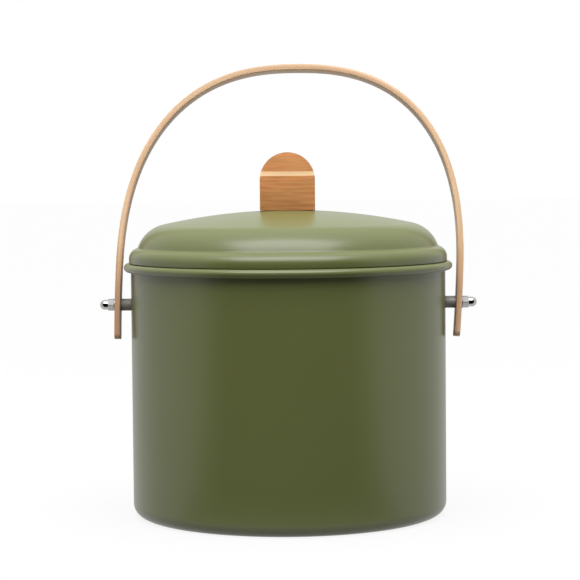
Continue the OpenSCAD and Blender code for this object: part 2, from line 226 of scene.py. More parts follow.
class Graph:
    """A node tree under construction, with short calls for adding and joining nodes."""

    def __init__(self, tree: Tree) -> None:
        """Takes an empty tree."""
        self.tree = tree

    @classmethod
    def of(cls, owner: Material | bpy.types.World) -> "Graph":
        """Empties the node tree of a material or a world.

        Args:
            owner: The material or the world.

        Returns:
            The graph of its tree.
        """
        owner.use_nodes = True
        owner.node_tree.nodes.clear()
        return cls(owner.node_tree)

    def declare(self, kind: str, *names: str, incoming: bool = True) -> None:
        """Adds sockets to the tree's own interface.

        Args:
            kind: Their type, such as Float or Geometry.
            names: Their names.
            incoming: True for inputs, False for outputs.
        """
        for name in names:
            self.tree.interface.new_socket(
                name, in_out="INPUT" if incoming else "OUTPUT", socket_type="NodeSocket" + kind)

    def given(self) -> Sockets:
        """The tree's own inputs, by name."""
        return {socket.name: socket for socket in self.add("NodeGroupInput").outputs}

    def add(self, kind: str, inputs: dict[str | int, Value] | None = None,
            **settings: object) -> Node:
        """Adds a node.

        Args:
            kind: Its type.
            inputs: What feeds its inputs, by name or number: sockets, or plain values.
            settings: Its properties by name, which are set before its inputs are fed.

        Returns:
            The node.
        """
        node = self.tree.nodes.new(kind)
        for name, value in settings.items():
            setattr(node, name, value)
        for name, value in (inputs or {}).items():
            self.feed(node.inputs[name], value)
        return node

    def out(self, kind: str, inputs: dict[str | int, Value] | None = None,
            pick: str | int = 0, **settings: object) -> Socket:
        """Adds a node, and returns the output that is picked by name or number."""
        return self.add(kind, inputs, **settings).outputs[pick]

    def feed(self, target: Socket, value: Value) -> None:
        """Feeds an input.

        Args:
            target: The input.
            value: The socket that it is joined to, or the plain value that it takes.
        """
        if isinstance(value, Socket):
            self.tree.links.new(value, target)
        else:
            target.default_value = value

    def math(self, operation: str, *values: Value) -> Socket:
        """Result of a Math node with the given inputs."""
        return self.out("ShaderNodeMath", dict(enumerate(values)), operation=operation)

    def times(self, first: Value, second: Value) -> Socket:
        """Product of two numbers."""
        return self.math("MULTIPLY", first, second)

    def vector(self, operation: str, *values: Value) -> Socket:
        """Result of a Vector Math node with the given inputs."""
        return self.out("ShaderNodeVectorMath", dict(enumerate(values)), operation=operation)

    def join(self, x: Value = 0.0, y: Value = 0.0, z: Value = 0.0) -> Socket:
        """A vector from three numbers."""
        return self.out("ShaderNodeCombineXYZ", {0: x, 1: y, 2: z})

    def split(self, vector: Socket) -> list[Socket]:
        """The three numbers of a vector."""
        return list(self.add("ShaderNodeSeparateXYZ", {0: vector}).outputs)

    def place(self) -> Socket:
        """Object coordinates, in a material."""
        return self.out("ShaderNodeTexCoord", pick="Object")

    def index(self) -> Socket:
        """The number of each point or copy, in a tree for meshes."""
        return self.out("GeometryNodeInputIndex")

    def store(self, geometry: Socket, name: str, value: Value) -> Socket:
        """Stores a number on each point of a mesh or curve.

        Args:
            geometry: The mesh or curve.
            name: Name that the number is stored under.
            value: The number.

        Returns:
            The geometry that holds it.
        """
        inputs = {"Geometry": geometry, "Name": name, "Value": value}
        return self.out("GeometryNodeStoreNamedAttribute", inputs, data_type="FLOAT",
                        domain="POINT")

    def read(self, name: str) -> Socket:
        """A number that is stored on each point."""
        return self.out("GeometryNodeInputNamedAttribute", {"Name": name}, "Attribute",
                        data_type="FLOAT")

    def noise(self, place: Value, scale: Value, detail: float, rough: float = 0.55,
              warp: float = 0.0) -> Socket:
        """Smooth noise.

        Args:
            place: Where the pattern is read.
            scale: Waves to a unit.
            detail: Number of finer layers.
            rough: Strength of the finer layers.
            warp: How far the pattern is bent.

        Returns:
            The factor, about 0 to 1.
        """
        return self.out("ShaderNodeTexNoise", {
            "Vector": place, "Scale": scale, "Detail": detail, "Roughness": rough,
            "Distortion": warp})

    def band(self, value: Value, low: float, high: float, to_low: float = 0.0,
             to_high: float = 1.0) -> Socket:
        """A value moved smoothly from one range to another, and held at its ends.

        Args:
            value: The value to move.
            low: Start of its range.
            high: End of its range.
            to_low: What the start becomes.
            to_high: What the end becomes.

        Returns:
            The new value.
        """
        inputs = dict(enumerate((value, low, high, to_low, to_high)))
        return self.out("ShaderNodeMapRange", inputs, interpolation_type="SMOOTHSTEP")

    def mix(self, share: Value, first: Socket | Colour, second: Socket | Colour,
            blend: str = "MIX") -> Socket:
        """Mix of two colours.

        Args:
            share: How much of the second, 0 to 1.
            first: The first colour.
            second: The second colour.
            blend: Blend mode.

        Returns:
            The mixed colour.
        """
        first, second = ((*c, 1.0) if isinstance(c, tuple) else c for c in (first, second))
        return self.out("ShaderNodeMix", {0: share, 6: first, 7: second}, 2, data_type="RGBA",
                        blend_type=blend)

    def fade(self, share: Value, first: Value, second: Value) -> Socket:
        """Mix of two numbers: the first at a share of 0, and the second at 1."""
        return self.out("ShaderNodeMix", {0: share, 2: first, 3: second}, data_type="FLOAT")

    def stamp(self, group: Tree, **values: Value) -> Sockets:
        """Places a shader node group.

        Args:
            group: The group.
            values: What feeds its inputs, by name, with _ for a space.

        Returns:
            Its outputs, by name.
        """
        inputs = {name.replace("_", " "): value for name, value in values.items()}
        node = self.add("ShaderNodeGroup", inputs, node_tree=group)
        return {socket.name: socket for socket in node.outputs}


# ---------------------------------------------------------------- meshes


def in_scene(name: str, data: bpy.types.ID) -> Piece:
    """Puts a mesh, a lamp or a camera in the scene.

    Args:
        name: Name of its object.
        data: The mesh, lamp or camera.

    Returns:
        The object.
    """
    made = bpy.data.objects.new(name, data)
    bpy.context.scene.collection.objects.link(made)
    return made


def metres(points: Sequence[Place]) -> list[Vector]:
    """Points in metres, from points in millimetres."""
    return [Vector(p) * MM for p in points]


def loft(name: str, rings: Sequence[Sequence[Vector]], tip: Vector | None = None) -> Piece:
    """A closed skin over a row of rings.

    Args:
        name: Name of the object.
        rings: The rings' points in metres, as many in each.
        tip: Point that the last ring runs out to. Without it, the ring is filled.

    Returns:
        The object, with its faces outwards.
    """
    bm = bmesh.new()
    rows = [[bm.verts.new(p) for p in ring] for ring in rings]
    last = rows[-1]
    bm.faces.new(rows[0][::-1])
    if tip is None:
        bm.faces.new(last)
    for low, high in zip(rows, rows[1:]):
        for corners in zip(low, low[1:] + low[:1], high[1:] + high[:1], high):
            bm.faces.new(corners)
    if tip is not None:
        end = bm.verts.new(tip)
        for a, b in zip(last, last[1:] + last[:1]):
            bm.faces.new((a, b, end))
    bmesh.ops.recalc_face_normals(bm, faces=bm.faces)
    mesh = bpy.data.meshes.new(name)
    bm.to_mesh(mesh)
    bm.free()
    return in_scene(name, mesh)


def prism(name: str, outline: Sequence[Place], run: Place) -> Piece:
    """A prism from the corners of one end and the run to the other, in millimetres."""
    low, shift = metres(outline), Vector([length * MM for length in run])
    return loft(name, [low, [p + shift for p in low]])


def bar(radius: float, start: Place, end: Place, sides: int = 64) -> Piece:
    """A round or many-sided bar from one point to another, for cutting a hole.

    Args:
        radius: Radius to the corners, in millimetres.
        start: Middle of one end.
        end: Middle of the other.
        sides: Number of sides.

    Returns:
        The object.
    """
    low, high = metres((start, end))
    run, r = high - low, radius * MM
    turn = run.to_track_quat("Z", "Y").to_matrix()
    ring = [low + turn @ Vector((r * math.cos(a), r * math.sin(a), 0))
            for a in (2 * math.pi * i / sides for i in range(sides))]
    return loft("bar", [ring, [p + run for p in ring]])


def settle(piece: Piece) -> Piece:
    """Turns an object's modifiers into its plain mesh.

    Args:
        piece: The object.

    Returns:
        The same object.
    """
    bpy.context.view_layer.update()
    graph = bpy.context.evaluated_depsgraph_get()
    mesh = bpy.data.meshes.new_from_object(piece.evaluated_get(graph))
    piece.modifiers.clear()
    old, piece.data = piece.data, mesh
    bpy.data.meshes.remove(old)
    mesh.name = piece.name
    return piece


def carve(piece: Piece, tools: Sequence[Piece], operation: str = "DIFFERENCE") -> Piece:
    """Cuts a piece with others, which are used up.

    Args:
        piece: What is cut.
        tools: What cuts it.
        operation: DIFFERENCE, INTERSECT or UNION.

    Returns:
        The piece.
    """
    for tool in tools:
        step = piece.modifiers.new("cut", "BOOLEAN")
        step.operation, step.solver, step.object = operation, "EXACT", tool
    settle(piece)
    for tool in tools:
        bpy.data.objects.remove(tool)
    return piece


def shade(piece: Piece, sharp: float = 35.0) -> Piece:
    """Turns a closed mesh's faces outwards and shades it smooth, but for its sharp edges.

    Args:
        piece: The piece.
        sharp: Edges that turn by more than this many degrees stay sharp.

    Returns:
        The piece.
    """
    bm = bmesh.new()
    bm.from_mesh(piece.data)
    if bm.calc_volume(signed=True) < 0:
        bmesh.ops.reverse_faces(bm, faces=bm.faces)
    for face in bm.faces:
        face.smooth = True
    for edge in bm.edges:
        edge.smooth = edge.calc_face_angle(0.0) < math.radians(sharp)
    bm.to_mesh(piece.data)
    bm.free()
    return piece


def paint(piece: Piece, finish: Material) -> None:
    """Gives a whole piece one material.

    Args:
        piece: The piece.
        finish: The material.
    """
    piece.data.materials.clear()
    piece.data.materials.append(finish)
    piece.data.polygons.foreach_set("material_index", [0] * len(piece.data.polygons))


def hand_over(piece: Piece, finish: Material, body: Body, slot: Slot, *nodes: str) -> None:
    """Paints a finished piece, and lets it ride on its body and stand for its CAD nodes.

    Args:
        piece: The finished piece.
        finish: Its material.
        body: The body that it moves with.
        slot: The record's material slot. It is not used.
        nodes: The CAD nodes that it replaces.
    """
    paint(piece, finish)
    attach(piece, body.value)
    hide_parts(*nodes)
    piece.data.calc_loop_triangles()
    LOG.info("%s: %d triangles, on %s", piece.name, len(piece.data.loop_triangles), body.value)


def dress_node(name: str, finish: Material) -> None:
    """Gives a CAD node that stays in view a finish.

    Args:
        name: Name of the node.
        finish: The material.
    """
    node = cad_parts[name]
    if not node.material_slots:
        node.data.materials.append(finish)
    for slot in node.material_slots:
        slot.material = finish
    LOG.info("%s: the CAD node, dressed", name)


# ---------------------------------------------------------------- geometry nodes


class Workshop:
    """The Geometry Nodes trees that turn sections and set out what repeats."""

    def __init__(self) -> None:
        """Builds the trees once."""
        self.turning = self._turning_tree()
        self.rows = self._row_tree()
        self.wheel = self._wheel_tree()
        self.pair = self._pair_tree()

    @staticmethod
    def _open(name: str, counts: Sequence[str] = (),
              lengths: Sequence[str] = ()) -> tuple[Graph, Sockets]:
        """Starts a tree.

        Args:
            name: Name of the tree.
            counts: Its whole-number inputs.
            lengths: Its inputs in metres.

        Returns:
            The graph, and its inputs, with Geometry and Finish among them.
        """
        graph = Graph(bpy.data.node_groups.new(name, "GeometryNodeTree"))
        graph.declare("Geometry", "Geometry")
        graph.declare("Int", *counts)
        graph.declare("Float", *lengths)
        graph.declare("Material", "Finish")
        graph.declare("Geometry", "Geometry", incoming=False)
        return graph, graph.given()

    @staticmethod
    def _close(graph: Graph, given: Sockets, made: Socket) -> Tree:
        """Ends a tree in Realize Instances and Set Material.

        Args:
            graph: The graph.
            given: Its inputs.
            made: The geometry that it has made.

        Returns:
            The tree.
        """
        real = graph.out("GeometryNodeRealizeInstances", {0: made})
        inputs = {"Geometry": real, "Material": given["Finish"]}
        graph.add("NodeGroupOutput", {0: graph.out("GeometryNodeSetMaterial", inputs)})
        return graph.tree

    @staticmethod
    def _drill(graph: Graph, stock: Socket, tools: Sequence[Socket]) -> Socket:
        """Cuts tools out of stock.

        Args:
            graph: The graph.
            stock: What is cut.
            tools: What cuts it.

        Returns:
            What is left.
        """
        cut = graph.add("GeometryNodeMeshBoolean", {0: stock}, operation="DIFFERENCE",
                        solver="EXACT")
        for tool in tools:
            graph.feed(cut.inputs[1], tool)
        return cut.outputs[0]

    @staticmethod
    def _rod(graph: Graph, diameter: Value) -> Socket:
        """A drill of a diameter, standing round the origin."""
        inputs = {"Vertices": 48, "Radius": graph.times(diameter, 0.5), "Depth": DRILL}
        return graph.out("GeometryNodeMeshCylinder", inputs, "Mesh")

    @staticmethod
    def _spread(graph: Graph, count: Value, spot: Socket, shape: Socket,
                turn: Value = (0.0, 0.0, 0.0)) -> Socket:
        """Sets copies of a shape out on points.

        Args:
            graph: The graph.
            count: Number of copies.
            spot: Field with each copy's place.
            shape: What is copied.
            turn: Field with each copy's rotation.

        Returns:
            The copies as plain geometry.
        """
        points = graph.out("GeometryNodePoints", {"Count": count, "Position": spot})
        copies = graph.out("GeometryNodeInstanceOnPoints",
                           {"Points": points, "Instance": shape, "Rotation": turn})
        return graph.out("GeometryNodeRealizeInstances", {0: copies})

    def _couple(self, graph: Graph, span: Value, height: Value, shape: Socket) -> Socket:
        """Two copies of a shape, a span apart along X, at a height."""
        side = graph.times(graph.math("SUBTRACT", graph.index(), 0.5), span)
        return self._spread(graph, 2, graph.join(side, 0.0, height), shape)

    def _turning_tree(self) -> Tree:
        """Builds the tree that turns a section, drawn in X and Z, round the Z axis.

        Returns:
            The tree.
        """
        graph, given = self._open("turned_section", ("Steps",))
        x, _, z = graph.split(graph.out("GeometryNodeInputPosition"))
        section = graph.store(graph.store(given["Geometry"], "out", x), "up", z)
        line = graph.out("GeometryNodeMeshToCurve", {"Mesh": section})
        circle = graph.out("GeometryNodeCurvePrimitiveCircle", {"Resolution": given["Steps"]})
        share = graph.math("DIVIDE", graph.index(), given["Steps"])
        ring = graph.store(circle, "turn", graph.times(share, 2 * math.pi))
        swept = graph.out("GeometryNodeCurveToMesh", {"Curve": ring, "Profile Curve": line})
        out, up, turn = (graph.read(name) for name in TURNED)
        spot = graph.join(graph.times(out, graph.math("COSINE", turn)),
                          graph.times(out, graph.math("SINE", turn)), up)
        moved = graph.out("GeometryNodeSetPosition", {"Geometry": swept, "Position": spot})
        welded = graph.out("GeometryNodeMergeByDistance", {"Geometry": moved, "Distance": WELD})
        return self._close(graph, given, welded)

    def _row_tree(self) -> Tree:
        """Builds the tree that drills the vent rows behind the knob and its two screw holes.

        Returns:
            The tree.
        """
        graph, given = self._open("vent_rows", ("First Count",), (
            "First Radius", "Row Gap", "Pitch", "Vent Diameter", "Screw Span", "Screw Diameter",
            "Height"))
        tools = []
        for row in range(VENT_ROWS):
            count = graph.math("ADD", given["First Count"], float(row))
            reach = graph.math("ADD", given["First Radius"],
                               graph.times(given["Row Gap"], float(row)))
            middle = graph.times(graph.math("SUBTRACT", count, 1.0), 0.5)
            step = graph.math("DIVIDE", given["Pitch"], reach)
            angle = graph.times(graph.math("SUBTRACT", graph.index(), middle), step)
            spot = graph.join(graph.times(reach, graph.math("SINE", angle)),
                              graph.times(reach, graph.math("COSINE", angle)), given["Height"])
            vent = self._rod(graph, given["Vent Diameter"])
            tools.append(self._spread(graph, count, spot, vent))
        screw = self._rod(graph, given["Screw Diameter"])
        tools.append(self._couple(graph, given["Screw Span"], given["Height"], screw))
        return self._close(graph, given, self._drill(graph, given["Geometry"], tools))

    def _wheel_tree(self) -> Tree:
        """Builds the tree that cuts slots in a disc, set out like spokes.

        Returns:
            The tree.
        """
        graph, given = self._open("slot_wheel", ("Count",), (
            "Slot Start", "Slot Length", "Slot Width", "Slot Depth", "Height"))
        size = graph.join(given["Slot Length"], given["Slot Width"], given["Slot Depth"])
        middle = graph.math("ADD", given["Slot Start"], graph.times(given["Slot Length"], 0.5))
        slot = graph.out("GeometryNodeTransform", {
            "Geometry": graph.out("GeometryNodeMeshCube", {"Size": size}),
            "Translation": graph.join(middle, 0.0, given["Height"])})
        share = graph.math("DIVIDE", graph.math("ADD", graph.index(), 0.5), given["Count"])
        turn = graph.join(0.0, 0.0, graph.times(share, 2 * math.pi))
        slots = self._spread(graph, given["Count"], graph.join(), slot, turn)
        return self._close(graph, given, self._drill(graph, given["Geometry"], [slots]))

    def _pair_tree(self) -> Tree:
        """Builds the tree that sets two copies of a fastener out along X.

        Returns:
            The tree.
        """
        graph, given = self._open("fastener_pair", lengths=("Span",))
        return self._close(graph, given, self._couple(graph, given["Span"], 0.0,
                                                      given["Geometry"]))

    @staticmethod
    def run(piece: Piece, tree: Tree, finish: Material, **sizes: float) -> Piece:
        """Runs a tree on a piece and keeps the result as its plain mesh.

        Args:
            piece: The object whose mesh goes in.
            tree: The tree.
            finish: Its material.
            sizes: Values of its inputs by name, with _ for a space. Lengths are in metres.

        Returns:
            The piece.
        """
        step = piece.modifiers.new("nodes", "NODES")
        step.node_group = tree
        values = {name.replace("_", " "): value for name, value in sizes.items()}
        values["Finish"] = finish
        for item in tree.interface.items_tree:
            if item.in_out == "INPUT" and item.name in values:
                step[item.identifier] = values[item.name]
        return settle(piece)

    def turn(self, name: str, section: Path, finish: Material, steps: int = 96) -> Piece:
        """Makes a turned piece.

        Args:
            name: Name of the piece.
            section: Its section as radius and height. It is open where both ends lie on the axis.
            finish: Its material.
            steps: Steps round the axis.

        Returns:
            The piece, round the Z axis.
        """
        mesh = bpy.data.meshes.new(name)
        last = len(section) - 1
        edges = [(i, i + 1) for i in range(last)]
        if max(abs(section[0][0]), abs(section[-1][0])) > ON_AXIS:
            edges.append((last, 0))
        mesh.from_pydata([(r * MM, 0, z * MM) for r, z in section], edges, [])
        piece = self.run(in_scene(name, mesh), self.turning, finish, Steps=steps)
        for mark in TURNED:
            piece.data.attributes.remove(piece.data.attributes[mark])
        return shade(piece)


# ---------------------------------------------------------------- finishes


class Figures:
    """Shader node groups for effects that several finishes share."""

    def __init__(self) -> None:
        """Builds the groups once."""
        self.skin = self._skin_group()
        self.grain = self._grain_group()

    @staticmethod
    def _open(name: str, inputs: Sequence[str], outputs: Sequence[str]) -> tuple[Graph, Sockets]:
        """Starts a group that reads a place.

        Args:
            name: Name of the group.
            inputs: Its inputs besides Place.
            outputs: Its outputs.

        Returns:
            The graph and its inputs.
        """
        graph = Graph(bpy.data.node_groups.new(name, "ShaderNodeTree"))
        graph.declare("Vector", "Place")
        graph.declare("Float", *inputs)
        graph.declare("Float", *outputs, incoming=False)
        return graph, graph.given()

    def _skin_group(self) -> Tree:
        """Builds the fine unevenness of a skin, such as paint, plating or moulded plastic.

        Returns:
            The group.
        """
        graph, given = self._open("fine_skin", ("Grain", "Patch"), ("Speckle", "Cloud", "Height"))
        fine = graph.noise(given["Place"], given["Grain"], 2.0, 0.5)
        cloud = graph.noise(given["Place"], given["Patch"], 3.0, 0.5)
        graph.add("NodeGroupOutput", {"Speckle": graph.band(fine, 0.3, 0.7),
                                      "Cloud": graph.band(cloud, 0.3, 0.7), "Height": fine})
        return graph.tree

    def _grain_group(self) -> Tree:
        """Builds wood grain along X of the place: fibres, streaks, broad bands and pores.

        Returns:
            The group.
        """
        graph, given = self._open("wood_grain", ("Fibre Length", "Fibre Width"),
                                  ("Fibres", "Streaks", "Bands", "Pores", "Height"))
        length, width = given["Fibre Length"], given["Fibre Width"]
        place = graph.vector("DIVIDE", given["Place"], graph.join(length, width, width))

        def layer(long: float, wide: float, warp: float, detail: float) -> Socket:
            """Noise drawn out along the grain, by so many fibre lengths and widths."""
            drawn = graph.vector("DIVIDE", place, (long, wide, wide))
            return graph.noise(drawn, 1.0, detail, warp=warp)

        fibres = layer(1.0, 1.0, 0.1, 2.0)
        graph.add("NodeGroupOutput", {
            "Fibres": graph.band(fibres, 0.3, 0.7),
            "Streaks": graph.band(layer(1.6, 3.4, 0.35, 2.0), 0.34, 0.66),
            "Bands": graph.band(layer(4.0, 13.0, 0.5, 1.5), 0.36, 0.64),
            "Pores": graph.band(layer(0.35, 1.3, 0.0, 1.0), 0.63, 0.75),
            "Height": fibres})
        return graph.tree


@dataclass(frozen=True)
class Finish:
    """What every finish has: a name, a roughness, and a relief's depth and strength.

    The roughness is uneven: the spread is how far it goes down and up.
    """

    name: str
    roughness: float
    bump: float
    strength: float = 1.0
    spread: Point = (0.0, 0.0)

    def looks(self, graph: Graph, figures: Figures) -> dict[str, Value]:
        """What feeds the shader's inputs, by name. Each kind of finish has its own."""
        raise NotImplementedError

    def make(self, figures: Figures) -> Material:
        """Makes the finish.

        Args:
            figures: The shared groups.

        Returns:
            The material.
        """
        material = bpy.data.materials.new(self.name)
        graph = Graph.of(material)
        shader = graph.out("ShaderNodeBsdfPrincipled", self.looks(graph, figures))
        graph.add("ShaderNodeOutputMaterial", {"Surface": shader})
        return material

    def uneven(self, graph: Graph, mask: Socket) -> Socket:
        """The roughness, spread by a mask."""
        low, high = self.spread
        return graph.band(mask, 0.0, 1.0, self.roughness + low, self.roughness + high)

    def relief(self, graph: Graph, height: Socket) -> Socket:
        """Normals of a relief, from its height."""
        return graph.out("ShaderNodeBump", {
            "Strength": self.strength, "Distance": self.bump, "Height": height})


@dataclass(frozen=True)
class Timber(Finish):
    """Oiled solid wood, with its grain along X and a paler tone where a face is marked as cut."""

    strength: float = 0.4
    spread: Point = (-0.04, 0.06)
    base: Colour = (0.43, 0.205, 0.068)
    band: Colour = (0.52, 0.216, 0.072)
    streak: Colour = (0.31, 0.116, 0.038)
    bands: float = 0.85
    streaks: float = 0.6
    fibres: float = 0.16
    pores: float = 0.3
    cut: Colour = (0.27, 0.21, 0.11)
    cut_share: float = 0.75
    fibre_length: float = 0.012
    fibre_width: float = 0.00035

    def figure(self, graph: Graph, figures: Figures, place: Socket,
               base: Socket | Colour) -> dict[str, Value]:
        """Draws the grain on a base colour.

        Args:
            graph: The material's graph.
            figures: The shared groups.
            place: Where the grain is read.
            base: The colour between the streaks.

        Returns:
            The colour, the roughness and the normals, as the shader's inputs.
        """
        masks = graph.stamp(figures.grain, Place=place, Fibre_Length=self.fibre_length,
                            Fibre_Width=self.fibre_width)
        colour = graph.mix(graph.times(masks["Bands"], self.bands), base, self.band)
        for mask, share in (("Streaks", self.streaks), ("Fibres", self.fibres),
                            ("Pores", self.pores)):
            colour = graph.mix(graph.times(masks[mask], share), colour, self.streak)
        return {"Base Color": colour, "Roughness": self.uneven(graph, masks["Fibres"]),
                "Normal": self.relief(graph, masks["Height"])}

    def looks(self, graph: Graph, figures: Figures) -> dict[str, Value]:
        """What feeds the shader's inputs, with the marked faces paler.

        Args:
            graph: The material's graph.
            figures: The shared groups.

        Returns:
            The inputs, by name.
        """
        looks = self.figure(graph, figures, graph.place(), self.base)
        marked = graph.out("ShaderNodeAttribute", pick="Fac", attribute_name="cut")
        looks["Base Color"] = graph.mix(graph.times(marked, self.cut_share), looks["Base Color"],
                                        self.cut)
        return looks


@dataclass(frozen=True)
class BentTimber(Timber):
    """A bent strip of plies, with its grain along it, and painted shade that darkens its feet and
    the outer face of its grip.

    The strip's own place, before it was bent, is read from its mesh: X along it from the crown,
    and Z outwards. Tones change where it passes the given distances.
    """

    ply: float = 0.0014
    ply_tint: Colour = (0.5, 0.31, 0.2)
    ply_waves: Point = (9.0, 7.3)
    ply_tones: Point = (0.35, 0.65)
    # painted shade: darkens the feet, where the legs pass beside the bucket's wall
    foot_shade_tint: Colour = (0.8, 0.74, 0.68)
    foot: Point = (0.19, 0.21)
    # painted shade: darkens the outer face at the crown, which the light from above strikes most
    grip_shade_tint: Colour = (0.58, 0.54, 0.49)
    grip: Point = (0.06, 0.13)
    grip_face: Point = (0.0015, 0.002)

    def looks(self, graph: Graph, figures: Figures) -> dict[str, Value]:
        """What feeds the shader's inputs, with tones by ply, and painted shade at the feet and on
        the grip's outer face.

        Args:
            graph: The material's graph.
            figures: The shared groups.

        Returns:
            The inputs, by name.
        """
        place = graph.out("ShaderNodeAttribute", pick="Vector", attribute_name="strip")
        x, _, z = graph.split(place)
        layer = graph.math("FLOOR", graph.math("ADD", graph.math("DIVIDE", z, self.ply), 1.5))
        along_ply, across_plies = self.ply_waves
        drawn = graph.join(graph.times(x, along_ply), graph.times(layer, across_plies))
        tone = graph.band(graph.noise(drawn, 1.0, 2.0), *self.ply_tones)
        looks = self.figure(graph, figures, place, graph.mix(tone, self.base, self.ply_tint))
        along = graph.math("ABSOLUTE", x)
        # painted shade: the grip's outer face is darkened
        held = graph.times(graph.band(z, *self.grip_face), graph.band(along, *self.grip, 1.0, 0.0))
        # painted shade: the feet are darkened
        foot_shaded = graph.mix(graph.band(along, *self.foot), looks["Base Color"], self.foot_shade_tint,
                           "MULTIPLY")
        looks["Base Color"] = graph.mix(held, foot_shaded, self.grip_shade_tint, "MULTIPLY")
        return looks


@dataclass(frozen=True)
class Skin(Finish):
    """A finish of two close tones, with a fine grain and soft patches.

    The grain and the patches are given as waves to a metre.
    """

    colour: Colour = (0.5, 0.5, 0.5)
    tint: Colour = (0.5, 0.5, 0.5)
    grain: float = 600.0
    patch: float = 120.0

    def masks(self, graph: Graph, figures: Figures) -> Sockets:
        """The skin's Speckle, Cloud and Height."""
        return graph.stamp(figures.skin, Place=graph.place(), Grain=self.grain, Patch=self.patch)


@dataclass(frozen=True)
class PowderCoat(Skin):
    """Satin powder coat on sheet steel."""

    strength: float = 0.12
    spread: Point = (-0.01, 0.01)
    colour: Colour = (0.0735, 0.0846, 0.025)
    tint: Colour = (0.0709, 0.0817, 0.0238)
    grain: float = 750.0
    patch: float = 14.0
    ior: float = 1.57

    def looks(self, graph: Graph, figures: Figures) -> dict[str, Value]:
        """What feeds the shader's inputs: tones in patches and a gloss that is finely speckled.

        Args:
            graph: The material's graph.
            figures: The shared groups.

        Returns:
            The inputs, by name.
        """
        masks = self.masks(graph, figures)
        return {"Base Color": graph.mix(masks["Cloud"], self.colour, self.tint),
                "Roughness": self.uneven(graph, masks["Speckle"]), "IOR": self.ior,
                "Normal": self.relief(graph, masks["Height"])}


@dataclass(frozen=True)
class Metal(Skin):
    """Bare or plated metal. The tint is its tarnish."""

    strength: float = 0.3
    metal: float = 1.0
    dulled: float = 1.35

    def tone(self, graph: Graph, colour: Socket) -> Socket:
        """The colour, as it changes over the piece."""
        return colour

    def gloss(self, graph: Graph, cloud: Socket) -> Socket:
        """The roughness, as it changes over the piece."""
        return graph.band(cloud, 0.0, 1.0, self.roughness, self.roughness * self.dulled)

    def looks(self, graph: Graph, figures: Figures) -> dict[str, Value]:
        """What feeds the shader's inputs: tones and gloss in patches.

        Args:
            graph: The material's graph.
            figures: The shared groups.

        Returns:
            The inputs, by name.
        """
        masks = self.masks(graph, figures)
        colour = graph.mix(masks["Cloud"], self.colour, self.tint)
        return {"Base Color": self.tone(graph, colour), "Metallic": self.metal,
                "Roughness": self.gloss(graph, masks["Cloud"]),
                "Normal": self.relief(graph, masks["Height"])}


@dataclass(frozen=True)
class NutPlate(Metal):
    """Plating that is tumbled on the hexagon and polished on the dome, with painted shade on its
    upper flats.
    """

    # painted shade: the darker colour of the upper flats
    upper_flat_shade: Colour = (0.17, 0.168, 0.165)
    bright: Colour = (0.5, 0.495, 0.49)
    polish: float = 0.15
    dome: Point = (0.126, 0.1267)
    upper: Point = (0.1474, 0.148)

    def _on_dome(self, graph: Graph) -> Socket:
        """1 on the dome, and 0 on the hexagon."""
        return graph.band(graph.math("ABSOLUTE", graph.split(graph.place())[0]), *self.dome)

    def tone(self, graph: Graph, colour: Socket) -> Socket:
        """The colour: as given on the lower flats, darkened as painted shade on the upper ones,
        bright on the dome.
        """
        # painted shade: the upper flats are darkened
        upper = graph.band(graph.split(graph.place())[2], *self.upper)
        return graph.mix(self._on_dome(graph), graph.mix(upper, colour, self.upper_flat_shade), self.bright)

    def gloss(self, graph: Graph, cloud: Socket) -> Socket:
        """The roughness: satin on the hexagon and near a mirror on the dome."""
        return graph.fade(self._on_dome(graph), self.roughness, self.polish)


@dataclass(frozen=True)
class Moulding(Skin):
    """Moulded plastic or felt."""

    spread: Point = (0.0, 0.08)
    colour: Colour = (0.02, 0.021, 0.02)
    tint: Colour = (0.026, 0.027, 0.026)
    grain: float = 1400.0
    patch: float = 60.0
    fuzz: float = 0.0

    def looks(self, graph: Graph, figures: Figures) -> dict[str, Value]:
        """What feeds the shader's inputs: tones finely speckled and a gloss in patches.

        Args:
            graph: The material's graph.
            figures: The shared groups.

        Returns:
            The inputs, by name.
        """
        masks = self.masks(graph, figures)
        return {"Base Color": graph.mix(masks["Speckle"], self.colour, self.tint),
                "Roughness": self.uneven(graph, masks["Cloud"]), "Sheen Weight": self.fuzz,
                "Normal": self.relief(graph, masks["Height"])}


# ---------------------------------------------------------------- pieces


